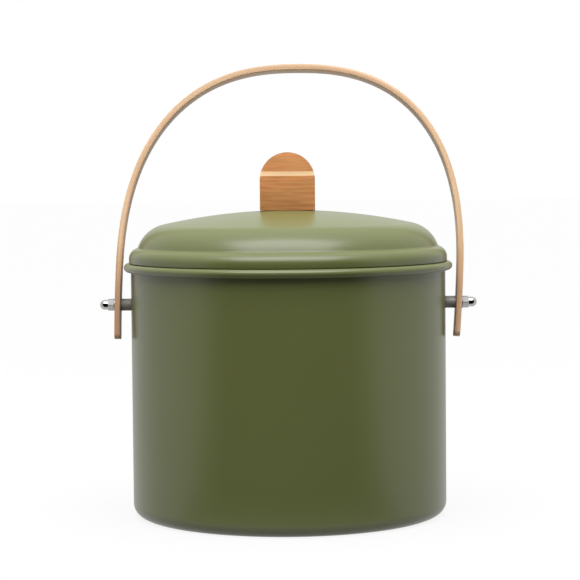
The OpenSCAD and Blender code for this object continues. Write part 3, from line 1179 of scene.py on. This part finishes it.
@dataclass
class Bucket:
    """The steel bucket: one turned sheet with a rolled rim and two bolt holes."""

    shop: Workshop
    coat: Material
    wall_r: float = WALL_R
    height: float = 176.9
    sheet: float = 1.0
    corner_r: float = 9.0
    base_lift: float = 1.5
    base_step: float = 3.0
    foot_ring: float = 7.0
    rim_d: float = 5.8
    curl_gap: float = 0.3
    wall_loops: tuple[float, ...] = (40.0, 90.0, 140.7, 154.7)
    pivot_z: float = PIVOT_Z
    bolt_hole_r: float = 2.65
    drill_x: Point = (105.0, 113.0)

    def inner_face(self) -> Path:
        """Draws the inside face.

        Returns:
            Its section, from the middle of the lifted base up to and round the rolled rim.
        """
        inner, rim_r = self.wall_r - self.sheet, self.rim_d / 2
        rim = (inner + rim_r, self.height - rim_r)
        end = -180 + math.degrees(math.acos((rim[0] - self.wall_r - self.curl_gap) / rim_r))
        foot, steps = self.wall_r - self.corner_r, 6
        face = [(0.0, self.sheet + self.base_lift)]
        for t in (k / steps for k in range(steps + 1)):
            face.append((foot - self.foot_ring - self.base_step * (1 - t),
                         self.sheet + self.base_lift * (1 + math.cos(math.pi * t)) / 2))
        face += arc((foot, self.corner_r), self.corner_r - self.sheet, -90, 0, steps=20)
        face += [(inner, z) for z in self.wall_loops]
        return face + arc(rim, rim_r, 180, end, steps=56)

    def build(self) -> None:
        """Makes the bucket and hands it over."""
        section = sheet_section(self.inner_face(), self.sheet)
        piece = self.shop.turn("bucket", section, self.coat, steps=256)
        drills = []
        for side in Side:
            ends = [(side.value * x, 0, self.pivot_z) for x in self.drill_x]
            drills.append(bar(self.bolt_hole_r, *ends))
        shade(carve(piece, drills))
        hand_over(piece, self.coat, Body.BUCKET, Slot.PAINT, "bucket_shell")


@dataclass
class Lid:
    """The domed lid with its centring ring.

    Its outside is drawn from four arcs: the crown, the shoulder, the crease and the lip's fold.
    """

    shop: Workshop
    coat: Material
    lid_r: float = 111.2
    lip_z: float = 177.2
    lip_h: float = 3.0
    fold_r: float = 7.4
    shoulder_in: float = 5.0
    shoulder_r: float = 24.0
    crown_r: float = 410.0
    crease_r: float = 2.5
    sheet: float = 1.0
    skirt_r: float = 108.4
    skirt_t: float = 0.8
    skirt_foot_z: float = 166.9
    skirt_edge_r: float = 0.25
    seat_gap: float = 0.05
    vents: int = 5
    vent_d: float = 4.0
    vent_pitch: float = 9.0
    vent_row_r: float = 29.0
    vent_row_gap: float = 8.0
    screw_span: float = SCREW_SPAN
    screw_hole_d: float = 4.3
    fold: Point = field(init=False)
    shoulder: Point = field(init=False)
    crown: Point = field(init=False)
    crease: Point = field(init=False)
    crown_z: float = field(init=False)

    def __post_init__(self) -> None:
        """Works out the arcs' centres and the height of the crown."""
        self.fold = (self.lid_r - self.fold_r, self.lip_z + self.lip_h)
        self.shoulder = (self.lid_r - self.shoulder_in - self.shoulder_r, self.fold[1])
        drop = math.sqrt((self.crown_r - self.shoulder_r) ** 2 - self.shoulder[0] ** 2)
        self.crown = (0.0, self.shoulder[1] - drop)
        self.crown_z = self.crown[1] + self.crown_r
        self.crease = meeting(self.shoulder, self.shoulder_r + self.crease_r,
                              self.fold, self.fold_r + self.crease_r)

    def outer_face(self) -> Path:
        """Draws the outside face.

        Returns:
            Its section, from the middle of the crown to the bottom of the lip.
        """
        tangent = bearing(self.crown, self.shoulder)
        turn = bearing(self.shoulder, self.crease)
        over = bearing(self.fold, self.crease)
        path = [(0.0, self.crown_z)]
        for centre, radius, start, end, steps in (
                (self.crown, self.crown_r, 90, tangent, 36),
                (self.shoulder, self.shoulder_r, tangent, turn, 28),
                (self.crease, self.crease_r, 180 + turn, 180 + over, 10),
                (self.fold, self.fold_r, over, 0, 20)):
            path += arc(centre, radius, start, end, steps)[1:]
        return path + [(self.lid_r, self.lip_z)]

    def skirt_section(self) -> Path:
        """Draws the centring ring.

        Returns:
            Its section, with its top edge just under the lip's fold.
        """
        under = self.fold_r - self.sheet - self.seat_gap
        walls = []
        for r in (self.skirt_r, self.skirt_r - self.skirt_t):
            top = self.fold[1] + math.sqrt(under ** 2 - (r - self.fold[0]) ** 2)
            walls.append([(r, self.skirt_foot_z), (r, top)])
        return rounded(walls[0] + walls[1][::-1], self.skirt_edge_r)

    def build(self) -> None:
        """Makes the shell and the centring ring, and hands them over."""
        section = sheet_section(self.outer_face(), self.sheet)
        shell = self.shop.turn("lid_dome", section, self.coat, steps=256)
        self.shop.run(
            shell, self.shop.rows, self.coat, First_Count=self.vents,
            First_Radius=self.vent_row_r * MM, Row_Gap=self.vent_row_gap * MM,
            Pitch=self.vent_pitch * MM, Vent_Diameter=self.vent_d * MM,
            Screw_Span=self.screw_span * MM, Screw_Diameter=self.screw_hole_d * MM,
            Height=self.crown_z * MM)
        hand_over(shade(shell), self.coat, Body.LID, Slot.PAINT, "lid_shell")
        ring = self.shop.turn("lid_centring_ring", self.skirt_section(), self.coat, steps=256)
        hand_over(ring, self.coat, Body.LID, Slot.PAINT, "lid_skirt")


@dataclass
class Knob:
    """The wooden knob: round-topped, with a thick foot, a sloping ledge and a thinner tongue."""

    wood: Material
    foot_z: float
    width: float = 38.4
    height: float = 40.4
    depth: float = 20.0
    tongue: float = 12.0
    ledge: float = 24.0
    ledge_rise: float = 3.0
    ledge_tilt: Point = (0.5, 0.97)
    ledge_square: float = 0.05
    edge_r: float = 0.7
    edge_turn: float = 28.0
    screw_span: float = SCREW_SPAN
    screw_hole_d: float = 4.1
    hole_top: float = 16.0
    clear: float = 5.0

    def _is_ledge(self, way: Vector) -> bool:
        """Whether a face that looks this way is one of the two sloping ledges."""
        low, high = self.ledge_tilt
        return low < way.z < high and abs(way.x) < self.ledge_square

    def build(self) -> None:
        """Makes the knob and hands it over."""
        low, half, deep, thin = self.foot_z, self.width / 2, self.depth / 2, self.tongue / 2
        front = [(-half, low), (half, low)]
        front += arc((0, low + self.height - half), half, 0, 180, steps=72)
        piece = prism("knob", [(x, -deep, z) for x, z in front], (0, self.depth, 0))
        side = [(deep, 0), (deep, self.ledge), (thin, self.ledge + self.ledge_rise),
                (thin, self.height + self.clear)]
        side += [(-y, z) for y, z in side[::-1]]
        outline = [(-self.width, y, low + z) for y, z in side]
        carve(piece, [prism("side", outline, (2 * self.width, 0, 0))], "INTERSECT")
        step = piece.modifiers.new("edges", "BEVEL")
        step.width, step.segments, step.limit_method = self.edge_r * MM, 3, "ANGLE"
        step.angle_limit = math.radians(self.edge_turn)
        settle(piece)
        holes = []
        for end in Side:
            ends = [(end.value * self.screw_span / 2, 0, low + z)
                    for z in (-self.clear, self.hole_top)]
            holes.append(bar(self.screw_hole_d / 2, *ends, sides=32))
        shade(carve(piece, holes), 30)
        marks = piece.data.attributes.new("cut", "FLOAT", "FACE")
        for face, mark in zip(piece.data.polygons, marks.data):
            mark.value = float(self._is_ledge(face.normal))
        hand_over(piece, self.wood, Body.LID, Slot.KNOB_WOOD, "lid_knob")


@dataclass
class Bail:
    """The bent strip of wood that the caddy is carried by."""

    wood: Material
    eye_x: float = 119.4
    thickness: float = 4.0
    width: float = 16.0
    height: float = 166.0
    squareness: float = 2.43
    belly: float = 20.0
    foot: float = 24.0
    foot_loops: tuple[float, ...] = (0, 0.04, 0.12, 0.25, 0.45, 0.7, 1.0, 1.4, 1.85, 2.3, 2.7,
                                     3.0, 3.6)
    draw: float = 0.9
    corner_r: float = 3.0
    sway: float = 7.2
    lean: float = 7.0
    edge_r: float = 0.55
    pivot_z: float = PIVOT_Z
    hole_r: float = 2.58
    seat_r: float = 5.1
    seat_x: Point = (117.75, 121.05)
    seat_depth: float = 4.0

    def centre_line(self) -> Path:
        """Draws the middle of the strip, standing upright on the hinge line.

        Returns:
            Its points, from the right foot over the arch to the left foot.
        """
        span, near = self.belly + self.foot, self.foot_loops[-1]
        leg_steps, arch_steps, power = 24, 96, 2 / self.squareness
        belly_x = self.eye_x + self.draw * (self.belly / span) ** 2
        loops = list(self.foot_loops)
        loops += [near + (span - near) * i / leg_steps for i in range(1, leg_steps)]
        half = [(belly_x - self.draw * (1 - loop / span) ** 2, loop - self.foot) for loop in loops]
        for a in (math.pi / 2 * i / arch_steps for i in range(arch_steps)):
            half.append((belly_x * math.cos(a) ** power,
                         self.belly + (self.height - self.belly) * math.sin(a) ** power))
        whole = half + [(0.0, self.height)] + [(-x, v) for x, v in half[::-1]]
        return [(x + self.sway * v / self.height, v) for x, v in whole]

    def section(self, from_end: float) -> Path:
        """Draws the strip's section.

        Args:
            from_end: Distance from the nearer end, whose corners are rounded.

        Returns:
            The section, as distance outwards and across.
        """
        half, r = self.width / 2, self.corner_r
        if from_end < r:
            half += math.sqrt(r * r - (r - from_end) ** 2) - r
        out, across = self.thickness / 2 - self.edge_r, half - self.edge_r
        ring: Path = []
        for start, centre in ((-90, (out, -across)), (0, (out, across)),
                              (90, (-out, across)), (180, (-out, -across))):
            ring += arc(centre, self.edge_r, start, start + 90, steps=3)
        return ring

    def build(self) -> None:
        """Makes the strip, bores it, marks its grain and hands it over."""
        line = [Vector(p) for p in self.centre_line()]
        travel = [0.0]
        for a, b in zip(line, line[1:]):
            travel.append(travel[-1] + (b - a).length)
        rings = []
        for p, before, after, gone in zip(line, line[:1] + line, line[1:] + line[-1:], travel):
            way = (after - before).normalized()
            section = self.section(min(gone, travel[-1] - gone))
            rings.append(metres([(p.x + way.y * out, y, p.y - way.x * out)
                                 for out, y in section]))
        piece = loft("bail", rings)
        inner, outer = self.seat_x
        bores = []
        for side in Side:
            for radius, start, end in (
                    (self.hole_r, inner - self.seat_depth, outer + self.seat_depth),
                    (self.seat_r, inner - self.seat_depth, inner),
                    (self.seat_r, outer, outer + self.seat_depth)):
                bores.append(bar(radius, (side.value * start, 0, 0), (side.value * end, 0, 0)))
        carve(piece, bores)
        self._mark_grain(piece, line, travel)
        tilt = Matrix.Rotation(-math.radians(self.lean), 4, "X")
        piece.data.transform(Matrix.Translation((0, 0, self.pivot_z * MM)) @ tilt)
        hand_over(shade(piece, 30), self.wood, Body.BAIL, Slot.BAIL_WOOD, "bail_handle")

    @staticmethod
    def _mark_grain(piece: Piece, line: list[Vector], travel: list[float]) -> None:
        """Stores on each vertex its place in the strip before it was bent, from the crown on.

        Args:
            piece: The strip, before it leans.
            line: Its centre line.
            travel: Distance along it of each point.
        """
        count = len(piece.data.vertices)
        flat = np.zeros(count * 3)
        piece.data.vertices.foreach_get("co", flat)
        spots = flat.reshape(-1, 3) / MM
        starts = np.array([tuple(p) for p in line[:-1]])
        runs = np.array([tuple(q - p) for p, q in zip(line, line[1:])])
        lengths = np.linalg.norm(runs, axis=1)
        from_start = spots[:, None, [0, 2]] - starts[None]
        share = np.clip((from_start * runs[None]).sum(2) / lengths ** 2, 0, 1)
        off = from_start - share[..., None] * runs[None]
        row, best = np.arange(count), np.linalg.norm(off, axis=2).argmin(1)
        along = np.array(travel)[best] + share[row, best] * lengths[best] - travel[-1] / 2
        outwards = np.stack([runs[best, 1], -runs[best, 0]], 1) / lengths[best, None]
        depth = (off[row, best] * outwards).sum(1)
        place = np.stack([along, spots[:, 1], depth], 1) * MM
        mark = piece.data.attributes.new("strip", "FLOAT_VECTOR", "POINT")
        mark.data.foreach_set("vector", place.astype(np.float32).ravel())


@dataclass
class Pivot:
    """The hardware at one end of the hinge line. Places are distances from the caddy's middle."""

    shop: Workshop
    side: Side
    sleeve: Material
    plated: Material
    nickel: Material
    pivot_z: float = PIVOT_Z
    wall_r: float = WALL_R
    spacer_d: float = 8.4
    spacer_len: float = 7.6
    spacer_edge_r: float = 0.35
    bolt_d: float = 5.0
    bolt_len: float = 20.0
    bolt_point: float = 0.5
    bolt_edge_r: float = 0.2
    head_d: float = 9.5
    head_h: float = 2.8
    socket_af: float = 3.0
    socket_depth: float = 1.7
    hole_gap: float = 0.15
    inner_washer_d: float = 12.0
    outer_washer_d: float = 9.0
    washer_t: float = 1.0
    washer_edge_r: float = 0.2
    inner_seat_x: float = 108.83
    nut_x: float = 122.2
    nut_af: float = 8.0
    nut_h: float = 10.0
    hex_h: float = 4.0
    hex_trim: float = 0.1
    foot_trim: Point = (0.18, 4.0)
    top_trim: float = 0.3
    neck: tuple[Point, ...] = ((0.25, 0.02), (0.05, 0.12), (0.0, 0.4))
    dome_d: float = 7.0
    dome_straight: float = 0.5
    bore_gap: float = 0.05
    bore_depth: float = 5.65
    bore_trim: float = 0.25

    def _place(self, piece: Piece) -> Piece:
        """Lays a piece that points up on the hinge line, pointing out.

        Args:
            piece: The piece.

        Returns:
            The same piece.
        """
        turn = Matrix.Rotation(self.side.value * math.pi / 2, 4, "Y")
        piece.data.transform(Matrix.Translation((0, 0, self.pivot_z * MM)) @ turn)
        return piece

    def _ring(self, name: str, diameter: float, start: float, length: float, edge: float,
              finish: Material) -> Piece:
        """Makes a washer or sleeve with softened edges.

        Args:
            name: Name of the piece.
            diameter: Its diameter.
            start: Place of its inner end.
            length: Its length.
            edge: Radius of its edges.
            finish: Its material.

        Returns:
            The piece, on the hinge line.
        """
        bore, outer, end = self.bolt_d / 2 + self.hole_gap, diameter / 2, start + length
        outline = [(bore, start), (outer, start), (outer, end), (bore, end)]
        return self._place(self.shop.turn(name, rounded(outline, edge), finish))

    def _nut(self, name: str) -> Piece:
        """Makes the acorn nut: a turned profile, cut to a hexagon where it is wider than the flats.

        Args:
            name: Name of the piece.

        Returns:
            The piece, on the hinge line.
        """
        flat, dome, bore = self.nut_af / 2, self.dome_d / 2, self.bolt_d / 2 + self.bore_gap
        sixth, around, crown = math.pi / 6, 144, self.nut_h - dome
        corner = flat / math.cos(sixth)
        profile = [(bore, self.bore_depth), (bore, self.bore_trim), (bore + self.bore_trim, 0.0)]
        trim, slope = self.foot_trim
        profile += [(flat + trim + slope * z, z) for z in (0.0, 0.06, 0.12)]
        profile += [(corner, z) for z in (0.6, 1.4, 2.2)]
        profile += [(flat + self.top_trim + z, self.hex_h - z) for z in (0.4, 0.3, 0.2, 0.1, 0.0)]
        profile += [(dome + out, self.hex_h + up) for out, up in self.neck]
        profile += [(dome, crown - self.dome_straight)]
        profile += arc((0, crown), dome, 0, 90, steps=18)[:-1]
        angles = [2 * math.pi * i / around for i in range(around)]
        reach = [min(flat / math.cos((a + sixth) % (2 * sixth) - sixth), corner - self.hex_trim)
                 for a in angles]
        rings = [[(min(r, limit) * math.cos(a), min(r, limit) * math.sin(a), self.nut_x + z)
                  for a, limit in zip(angles, reach)] for r, z in profile]
        nut = loft(name, [metres(ring) for ring in rings],
                   Vector((0, 0, self.nut_x + self.nut_h)) * MM)
        return self._place(shade(nut, 25))

    def _bolt(self, name: str) -> Piece:
        """Makes the button-head bolt, put in from inside the bucket.

        Args:
            name: Name of the piece.

        Returns:
            The piece, on the hinge line.
        """
        seat, shank = self.inner_seat_x - self.washer_t, self.bolt_d / 2
        low, end = seat - self.head_h, seat + self.bolt_len
        button_r = ((self.head_d / 2) ** 2 + self.head_h ** 2) / (2 * self.head_h)
        rim = math.degrees(math.asin((low + button_r - seat) / button_r))
        head = arc((0.0, low + button_r), button_r, -90, -rim, steps=18)
        section = [(0.0, low), *head[1:], (shank, seat), (shank, end - self.bolt_point),
                   (shank - self.bolt_point, end), (0.0, end)]
        piece = self.shop.turn(name, rounded(section, self.bolt_edge_r, closed=False),
                               self.plated, steps=72)
        key = bar(self.socket_af / 2 / math.cos(math.pi / 6), (0, 0, low - CLEAR),
                  (0, 0, low + self.socket_depth), sides=6)
        return self._place(shade(carve(piece, [key])))

    def build(self) -> None:
        """Makes the five pieces and hands them over."""
        side = self.side.name.lower()
        hand_over(self._bolt(side + "_bolt"), self.plated, Body.BUCKET, Slot.PLATED,
                  side + "_pivot_bolt")
        for name, diameter, start, length, edge, finish, slot, node in (
                ("washer_inside", self.inner_washer_d, self.inner_seat_x - self.washer_t,
                 self.washer_t, self.washer_edge_r, self.plated, Slot.PLATED, "inner_washer"),
                ("sleeve", self.spacer_d, self.wall_r, self.spacer_len, self.spacer_edge_r,
                 self.sleeve, Slot.SPACER, "spacer"),
                ("washer_outside", self.outer_washer_d, self.nut_x - self.washer_t,
                 self.washer_t, self.washer_edge_r, self.plated, Slot.PLATED, "outer_washer")):
            ring = self._ring(f"{side}_{name}", diameter, start, length, edge, finish)
            hand_over(ring, finish, Body.BUCKET, slot, f"{side}_{node}")
        hand_over(self._nut(side + "_nut"), self.nickel, Body.BUCKET, Slot.NUT,
                  side + "_acorn_nut")


@dataclass
class Filter:
    """The knob's screws and the charcoal filter that they hold under the lid."""

    shop: Workshop
    plated: Material
    plastic: Material
    felt: Material
    washer_z: float
    cover_z: float
    frame_r: float = 47.9
    bore_r: float = 45.9
    pad_gap: float = 0.2
    seat_gap: float = 0.05
    cover_t: float = 2.0
    cover_edge_r: float = 0.3
    rim_h: float = 6.0
    rim_t: float = 1.5
    snap_up: float = 4.0
    snap_h: float = 0.5
    slots: int = 12
    slot_w: float = 4.0
    slot_len: float = 22.0
    slot_start: float = 13.4
    bar_l: float = 24.0
    bar_h: float = 5.0
    bar_t: float = 2.4
    bar_edge_r: float = 2.0
    pad_d: float = 88.0
    pad_t: float = 10.0
    pad_edge_r: float = 1.6
    pad_rings: int = 22
    pad_wave: float = 0.25
    screw_d: float = 4.0
    screw_len: float = 20.0
    screw_edge_r: float = 0.4
    head_d: float = 8.0
    head_h: float = 2.4
    recess: Place = (4.0, 0.8, 1.2)
    washer_d: float = 10.0
    washer_t: float = 0.8
    washer_edge_r: float = 0.15
    screw_span: float = SCREW_SPAN
    hole_gap: float = 0.15

    def build(self) -> None:
        """Makes the pieces and hands them over. The frame stays the CAD node."""
        self._screws()
        self._pad()
        self._cover()
        dress_node("filter_frame", self.plastic)

    def _set_out(self, piece: Piece, node: str) -> None:
        """Makes a pair of a fastener, and hands it over."""
        self.shop.run(piece, self.shop.pair, self.plated, Span=self.screw_span * MM)
        hand_over(piece, self.plated, Body.LID, Slot.PLATED, node)

    def _screws(self) -> None:
        """Makes the two screws and their washers."""
        seat, shank, head = self.washer_z, self.screw_d / 2, self.head_d / 2
        low, top = seat - self.head_h, seat + self.screw_len
        section = [(0.0, low), (head, low), (head, seat), (shank, seat),
                   (shank, top - self.screw_d), (0.0, top)]
        screw = self.shop.turn("knob_screw_pair",
                               rounded(section, self.screw_edge_r, closed=False),
                               self.plated, steps=48)
        length, width, depth = self.recess
        blades = []
        for x, y in ((length / 2, width / 2), (width / 2, length / 2)):
            end = [(u, v, low - CLEAR) for u, v in ((x, y), (-x, y), (-x, -y), (x, -y))]
            blades.append(prism("blade", end, (0, 0, depth + CLEAR)))
        self._set_out(shade(carve(screw, blades)), "knob_screws")
        bore, outer, high = shank + self.hole_gap, self.washer_d / 2, seat + self.washer_t
        outline = [(bore, seat), (outer, seat), (outer, high), (bore, high)]
        washer = self.shop.turn("knob_washer_pair", rounded(outline, self.washer_edge_r),
                                self.plated, steps=64)
        self._set_out(washer, "knob_washers")

    def _pad(self) -> None:
        """Makes the felt pad: a soft-edged disc whose faces are slightly uneven."""
        low, edge, r = self.cover_z + self.seat_gap, self.pad_edge_r, self.pad_d / 2
        high = low + self.pad_t
        rings = [r * k / self.pad_rings for k in range(self.pad_rings - 1)]
        section = [(x, low) for x in rings]
        section += arc((r - edge, low + edge), edge, -90, 0, steps=6)
        section += arc((r - edge, high - edge), edge, 0, 90, steps=6)
        section += [(x, high) for x in rings[::-1]]
        pad = self.shop.turn("charcoal_pad", section, self.felt)
        middle = (low + high) / 2 * MM
        for vertex in pad.data.vertices:
            x, y, z = vertex.co
            # from 0 to 1, in waves about 2 cm long
            wave = 0.5 + 0.25 * math.sin(x * 310 + 1) + 0.25 * math.cos(y * 270 - x * 90)
            vertex.co.z = z + math.copysign(self.pad_wave * MM * wave, middle - z)
        hand_over(pad, self.felt, Body.LID, Slot.FELT, "charcoal_filter")

    def _cover(self) -> None:
        """Makes the slotted cover with its snap rim and its finger bar."""
        top = self.cover_z - self.seat_gap
        low, rim_top = top - self.cover_t, self.cover_z + self.rim_h
        snap_r, snap_z = self.bore_r - self.pad_gap, self.cover_z + self.snap_up
        inner = snap_r - self.rim_t
        section = [(0.0, low), (self.frame_r, low), (self.frame_r, top), (snap_r, top),
                   (snap_r, snap_z - self.snap_h), (snap_r + self.snap_h, snap_z),
                   (snap_r, snap_z + self.snap_h), (snap_r, rim_top), (inner, rim_top),
                   (inner, top), (0.0, top)]
        cover = self.shop.turn("filter_cover_disc",
                               rounded(section, self.cover_edge_r, closed=False),
                               self.plastic, steps=128)
        self.shop.run(
            cover, self.shop.wheel, self.plastic, Count=self.slots,
            Slot_Start=self.slot_start * MM, Slot_Length=self.slot_len * MM,
            Slot_Width=self.slot_w * MM, Slot_Depth=(self.cover_t + CLEAR) * MM,
            Height=(low + top) / 2 * MM)
        half, foot, head = self.bar_l / 2, low - self.bar_h, low + CLEAR
        outline = rounded([(-half, head), (-half, foot), (half, foot), (half, head)],
                          self.bar_edge_r, steps=6)
        end = [(x, -self.bar_t / 2, z) for x, z in outline]
        carve(cover, [prism("finger_bar", end, (0, self.bar_t, 0))], "UNION")
        hand_over(shade(cover), self.plastic, Body.LID, Slot.PLASTIC, "filter_cover")


# ---------------------------------------------------------------- studio


@dataclass
class Studio:
    """Floor, surroundings, lamp and camera, in metres and radians.

    What shines meets pale walls, but for a dark camera side. A pair of numbers is where a tone
    starts to change and where it ends, along one axis of the direction that is looked in.
    """

    eye: Place = (0.0, -1.50426, 0.24733)
    pitch: float = 0.0600
    yaw: float = 0.00081
    roll: float = -0.0088
    lens: float = 133.3
    sensor: float = 36.0
    sky: float = 7.0
    sky_z: Point = (0.58, 0.95)
    room: float = 0.0
    wall: float = 0.86
    wall_y: Point = (-0.7, -0.35)
    floor_half: float = 12.0
    floor_thick: float = 0.02
    floor_share: float = 0.8
    floor_level: float = 1.1
    floor_bounce: float = 0.185
    close_floor: Point = (-0.66, -0.42)
    caddy_middle: float = 0.1
    lamp_place: Place = (-0.04, -0.85, 1.38)
    lamp_target: Place = (0.0, -0.1, 0.2)
    lamp_size: Point = (1.8, 1.1)
    lamp_power: float = 27.5

    def build(self) -> None:
        """Sets everything up."""
        bpy.context.scene.view_settings.view_transform = "Standard"
        self._floor()
        self._surroundings()
        self._softbox()
        self._camera()

    def _camera(self) -> None:
        """Sets up the camera, as fitted to the photograph."""
        data = bpy.data.cameras.new("camera")
        data.sensor_width, data.lens = self.sensor, self.lens
        camera = in_scene("camera", data)
        aim = Matrix.Rotation(-self.yaw, 4, "Z") @ Matrix.Rotation(
            math.pi / 2 - self.pitch, 4, "X") @ Matrix.Rotation(self.roll, 4, "Z")
        camera.matrix_world = Matrix.Translation(self.eye) @ aim
        bpy.context.scene.camera = camera

    def _softbox(self) -> None:
        """Hangs the one lamp, above and in front."""
        data = bpy.data.lights.new("softbox", "AREA")
        data.shape, data.energy = "RECTANGLE", self.lamp_power
        data.size, data.size_y = self.lamp_size
        lamp = in_scene("softbox", data)
        lamp.location = self.lamp_place
        beam = Vector(self.lamp_target) - Vector(self.lamp_place)
        lamp.rotation_euler = beam.to_track_quat("-Z", "Y").to_euler()

    def _reflected(self, graph: Graph, way: Socket) -> Socket:
        """What a reflection meets in a direction: pale walls, but for the dark camera side."""
        return graph.band(graph.split(way)[1], *self.wall_y, self.room, self.wall)

    @staticmethod
    def _rays(graph: Graph) -> tuple[Socket, Socket]:
        """Tells rays apart.

        Args:
            graph: The graph of a material or of the world.

        Returns:
            1 for a ray from the camera, and 1 for a reflection or a transmission.
        """
        ray = graph.add("ShaderNodeLightPath").outputs
        return ray["Is Camera Ray"], graph.math("MAXIMUM", ray["Is Glossy Ray"],
                                                ray["Is Transmission Ray"])

    def _floor(self) -> None:
        """Lays a pale floor that runs out of view, white but for the caddy's own shadow."""
        half, thick = self.floor_half / MM, self.floor_thick / MM
        corners = [(x, y, -thick) for x, y in ((-half, -half), (half, -half), (half, half),
                                               (-half, half))]
        floor = prism("floor", corners, (0, 0, thick))
        material = bpy.data.materials.new("floor_white")
        graph = Graph.of(material)
        seen, shine = self._rays(graph)
        matt = graph.out("ShaderNodeBsdfDiffuse", {"Color": (*[self.floor_bounce] * 3, 1.0)})
        way = graph.vector("NORMALIZE", graph.vector("SUBTRACT", graph.place(),
                                                     (0.0, 0.0, self.caddy_middle)))
        close = graph.band(graph.split(way)[2], *self.close_floor, self.wall, 0.0)
        shown = graph.math("MAXIMUM", self._reflected(graph, way), close)
        glow = graph.out("ShaderNodeEmission",
                         {"Strength": graph.fade(shine, self.floor_level, shown)})
        share = graph.math("MAXIMUM", graph.times(seen, self.floor_share), shine)
        mixed = graph.out("ShaderNodeMixShader", {0: share, 1: matt, 2: glow})
        graph.add("ShaderNodeOutputMaterial", {"Surface": mixed})
        paint(floor, material)

    def _surroundings(self) -> None:
        """Lights what is matt softly from above, and shows what shines pale walls."""
        world = bpy.data.worlds.new("studio")
        bpy.context.scene.world = world
        graph = Graph.of(world)
        seen, shine = self._rays(graph)
        way = graph.out("ShaderNodeTexCoord", pick="Generated")
        above = graph.band(graph.split(way)[2], *self.sky_z, 0.0, self.sky)
        level = graph.fade(shine, above, self._reflected(graph, way))
        light = graph.out("ShaderNodeBackground", {
            "Color": (1.0, 1.0, 1.0, 1.0), "Strength": graph.fade(seen, level, 1.0)})
        graph.add("ShaderNodeOutputWorld", {"Surface": light})


# ---------------------------------------------------------------- the whole


def main() -> None:
    """Builds the studio and every piece."""
    logging.basicConfig(level=logging.INFO, format="%(name)s: %(message)s", stream=sys.stdout)
    Studio().build()
    shop, figures = Workshop(), Figures()
    coat = PowderCoat("powder_coat", 0.3, 0.00002).make(figures)
    bail_wood = BentTimber("bail_timber", 0.45, 0.00001, base=(0.57, 0.405, 0.246),
                           band=(0.475, 0.313, 0.18), streak=(0.38, 0.225, 0.125), streaks=0.5,
                           fibre_length=0.045, fibre_width=0.0007).make(figures)
    knob_wood = Timber("knob_timber", 0.4, 0.00004).make(figures)
    sleeve = Metal("sleeve_phosphated", 0.45, 0.00002, colour=(0.26, 0.243, 0.222),
                   tint=(0.23, 0.213, 0.192), metal=0.3).make(figures)
    plated = Metal("zinc_plate", 0.3, 0.00001, colour=(0.34, 0.335, 0.33),
                   tint=(0.28, 0.275, 0.27)).make(figures)
    nickel = NutPlate("nickel_plate", 0.42, 0.000005, colour=(0.62, 0.615, 0.61),
                      tint=(0.56, 0.555, 0.55), grain=300.0).make(figures)
    plastic = Moulding("filter_plastic_black", 0.42, 0.00002).make(figures)
    felt = Moulding("charcoal_felt_black", 0.9, 0.0004, colour=(0.006, 0.006, 0.006),
                    tint=(0.02, 0.02, 0.02), grain=1800.0, fuzz=0.4).make(figures)
    Bucket(shop, coat).build()
    lid = Lid(shop, coat)
    lid.build()
    Knob(knob_wood, lid.crown_z).build()
    Bail(bail_wood).build()
    for side in Side:
        Pivot(shop, side, sleeve, plated, nickel).build()
    washer_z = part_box("knob_washers")[0].z / MM
    cover_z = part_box("charcoal_filter")[0].z / MM - Filter.seat_gap
    Filter(shop, plated, plastic, felt, washer_z, cover_z).build()


if __name__ == "__main__":
    main()
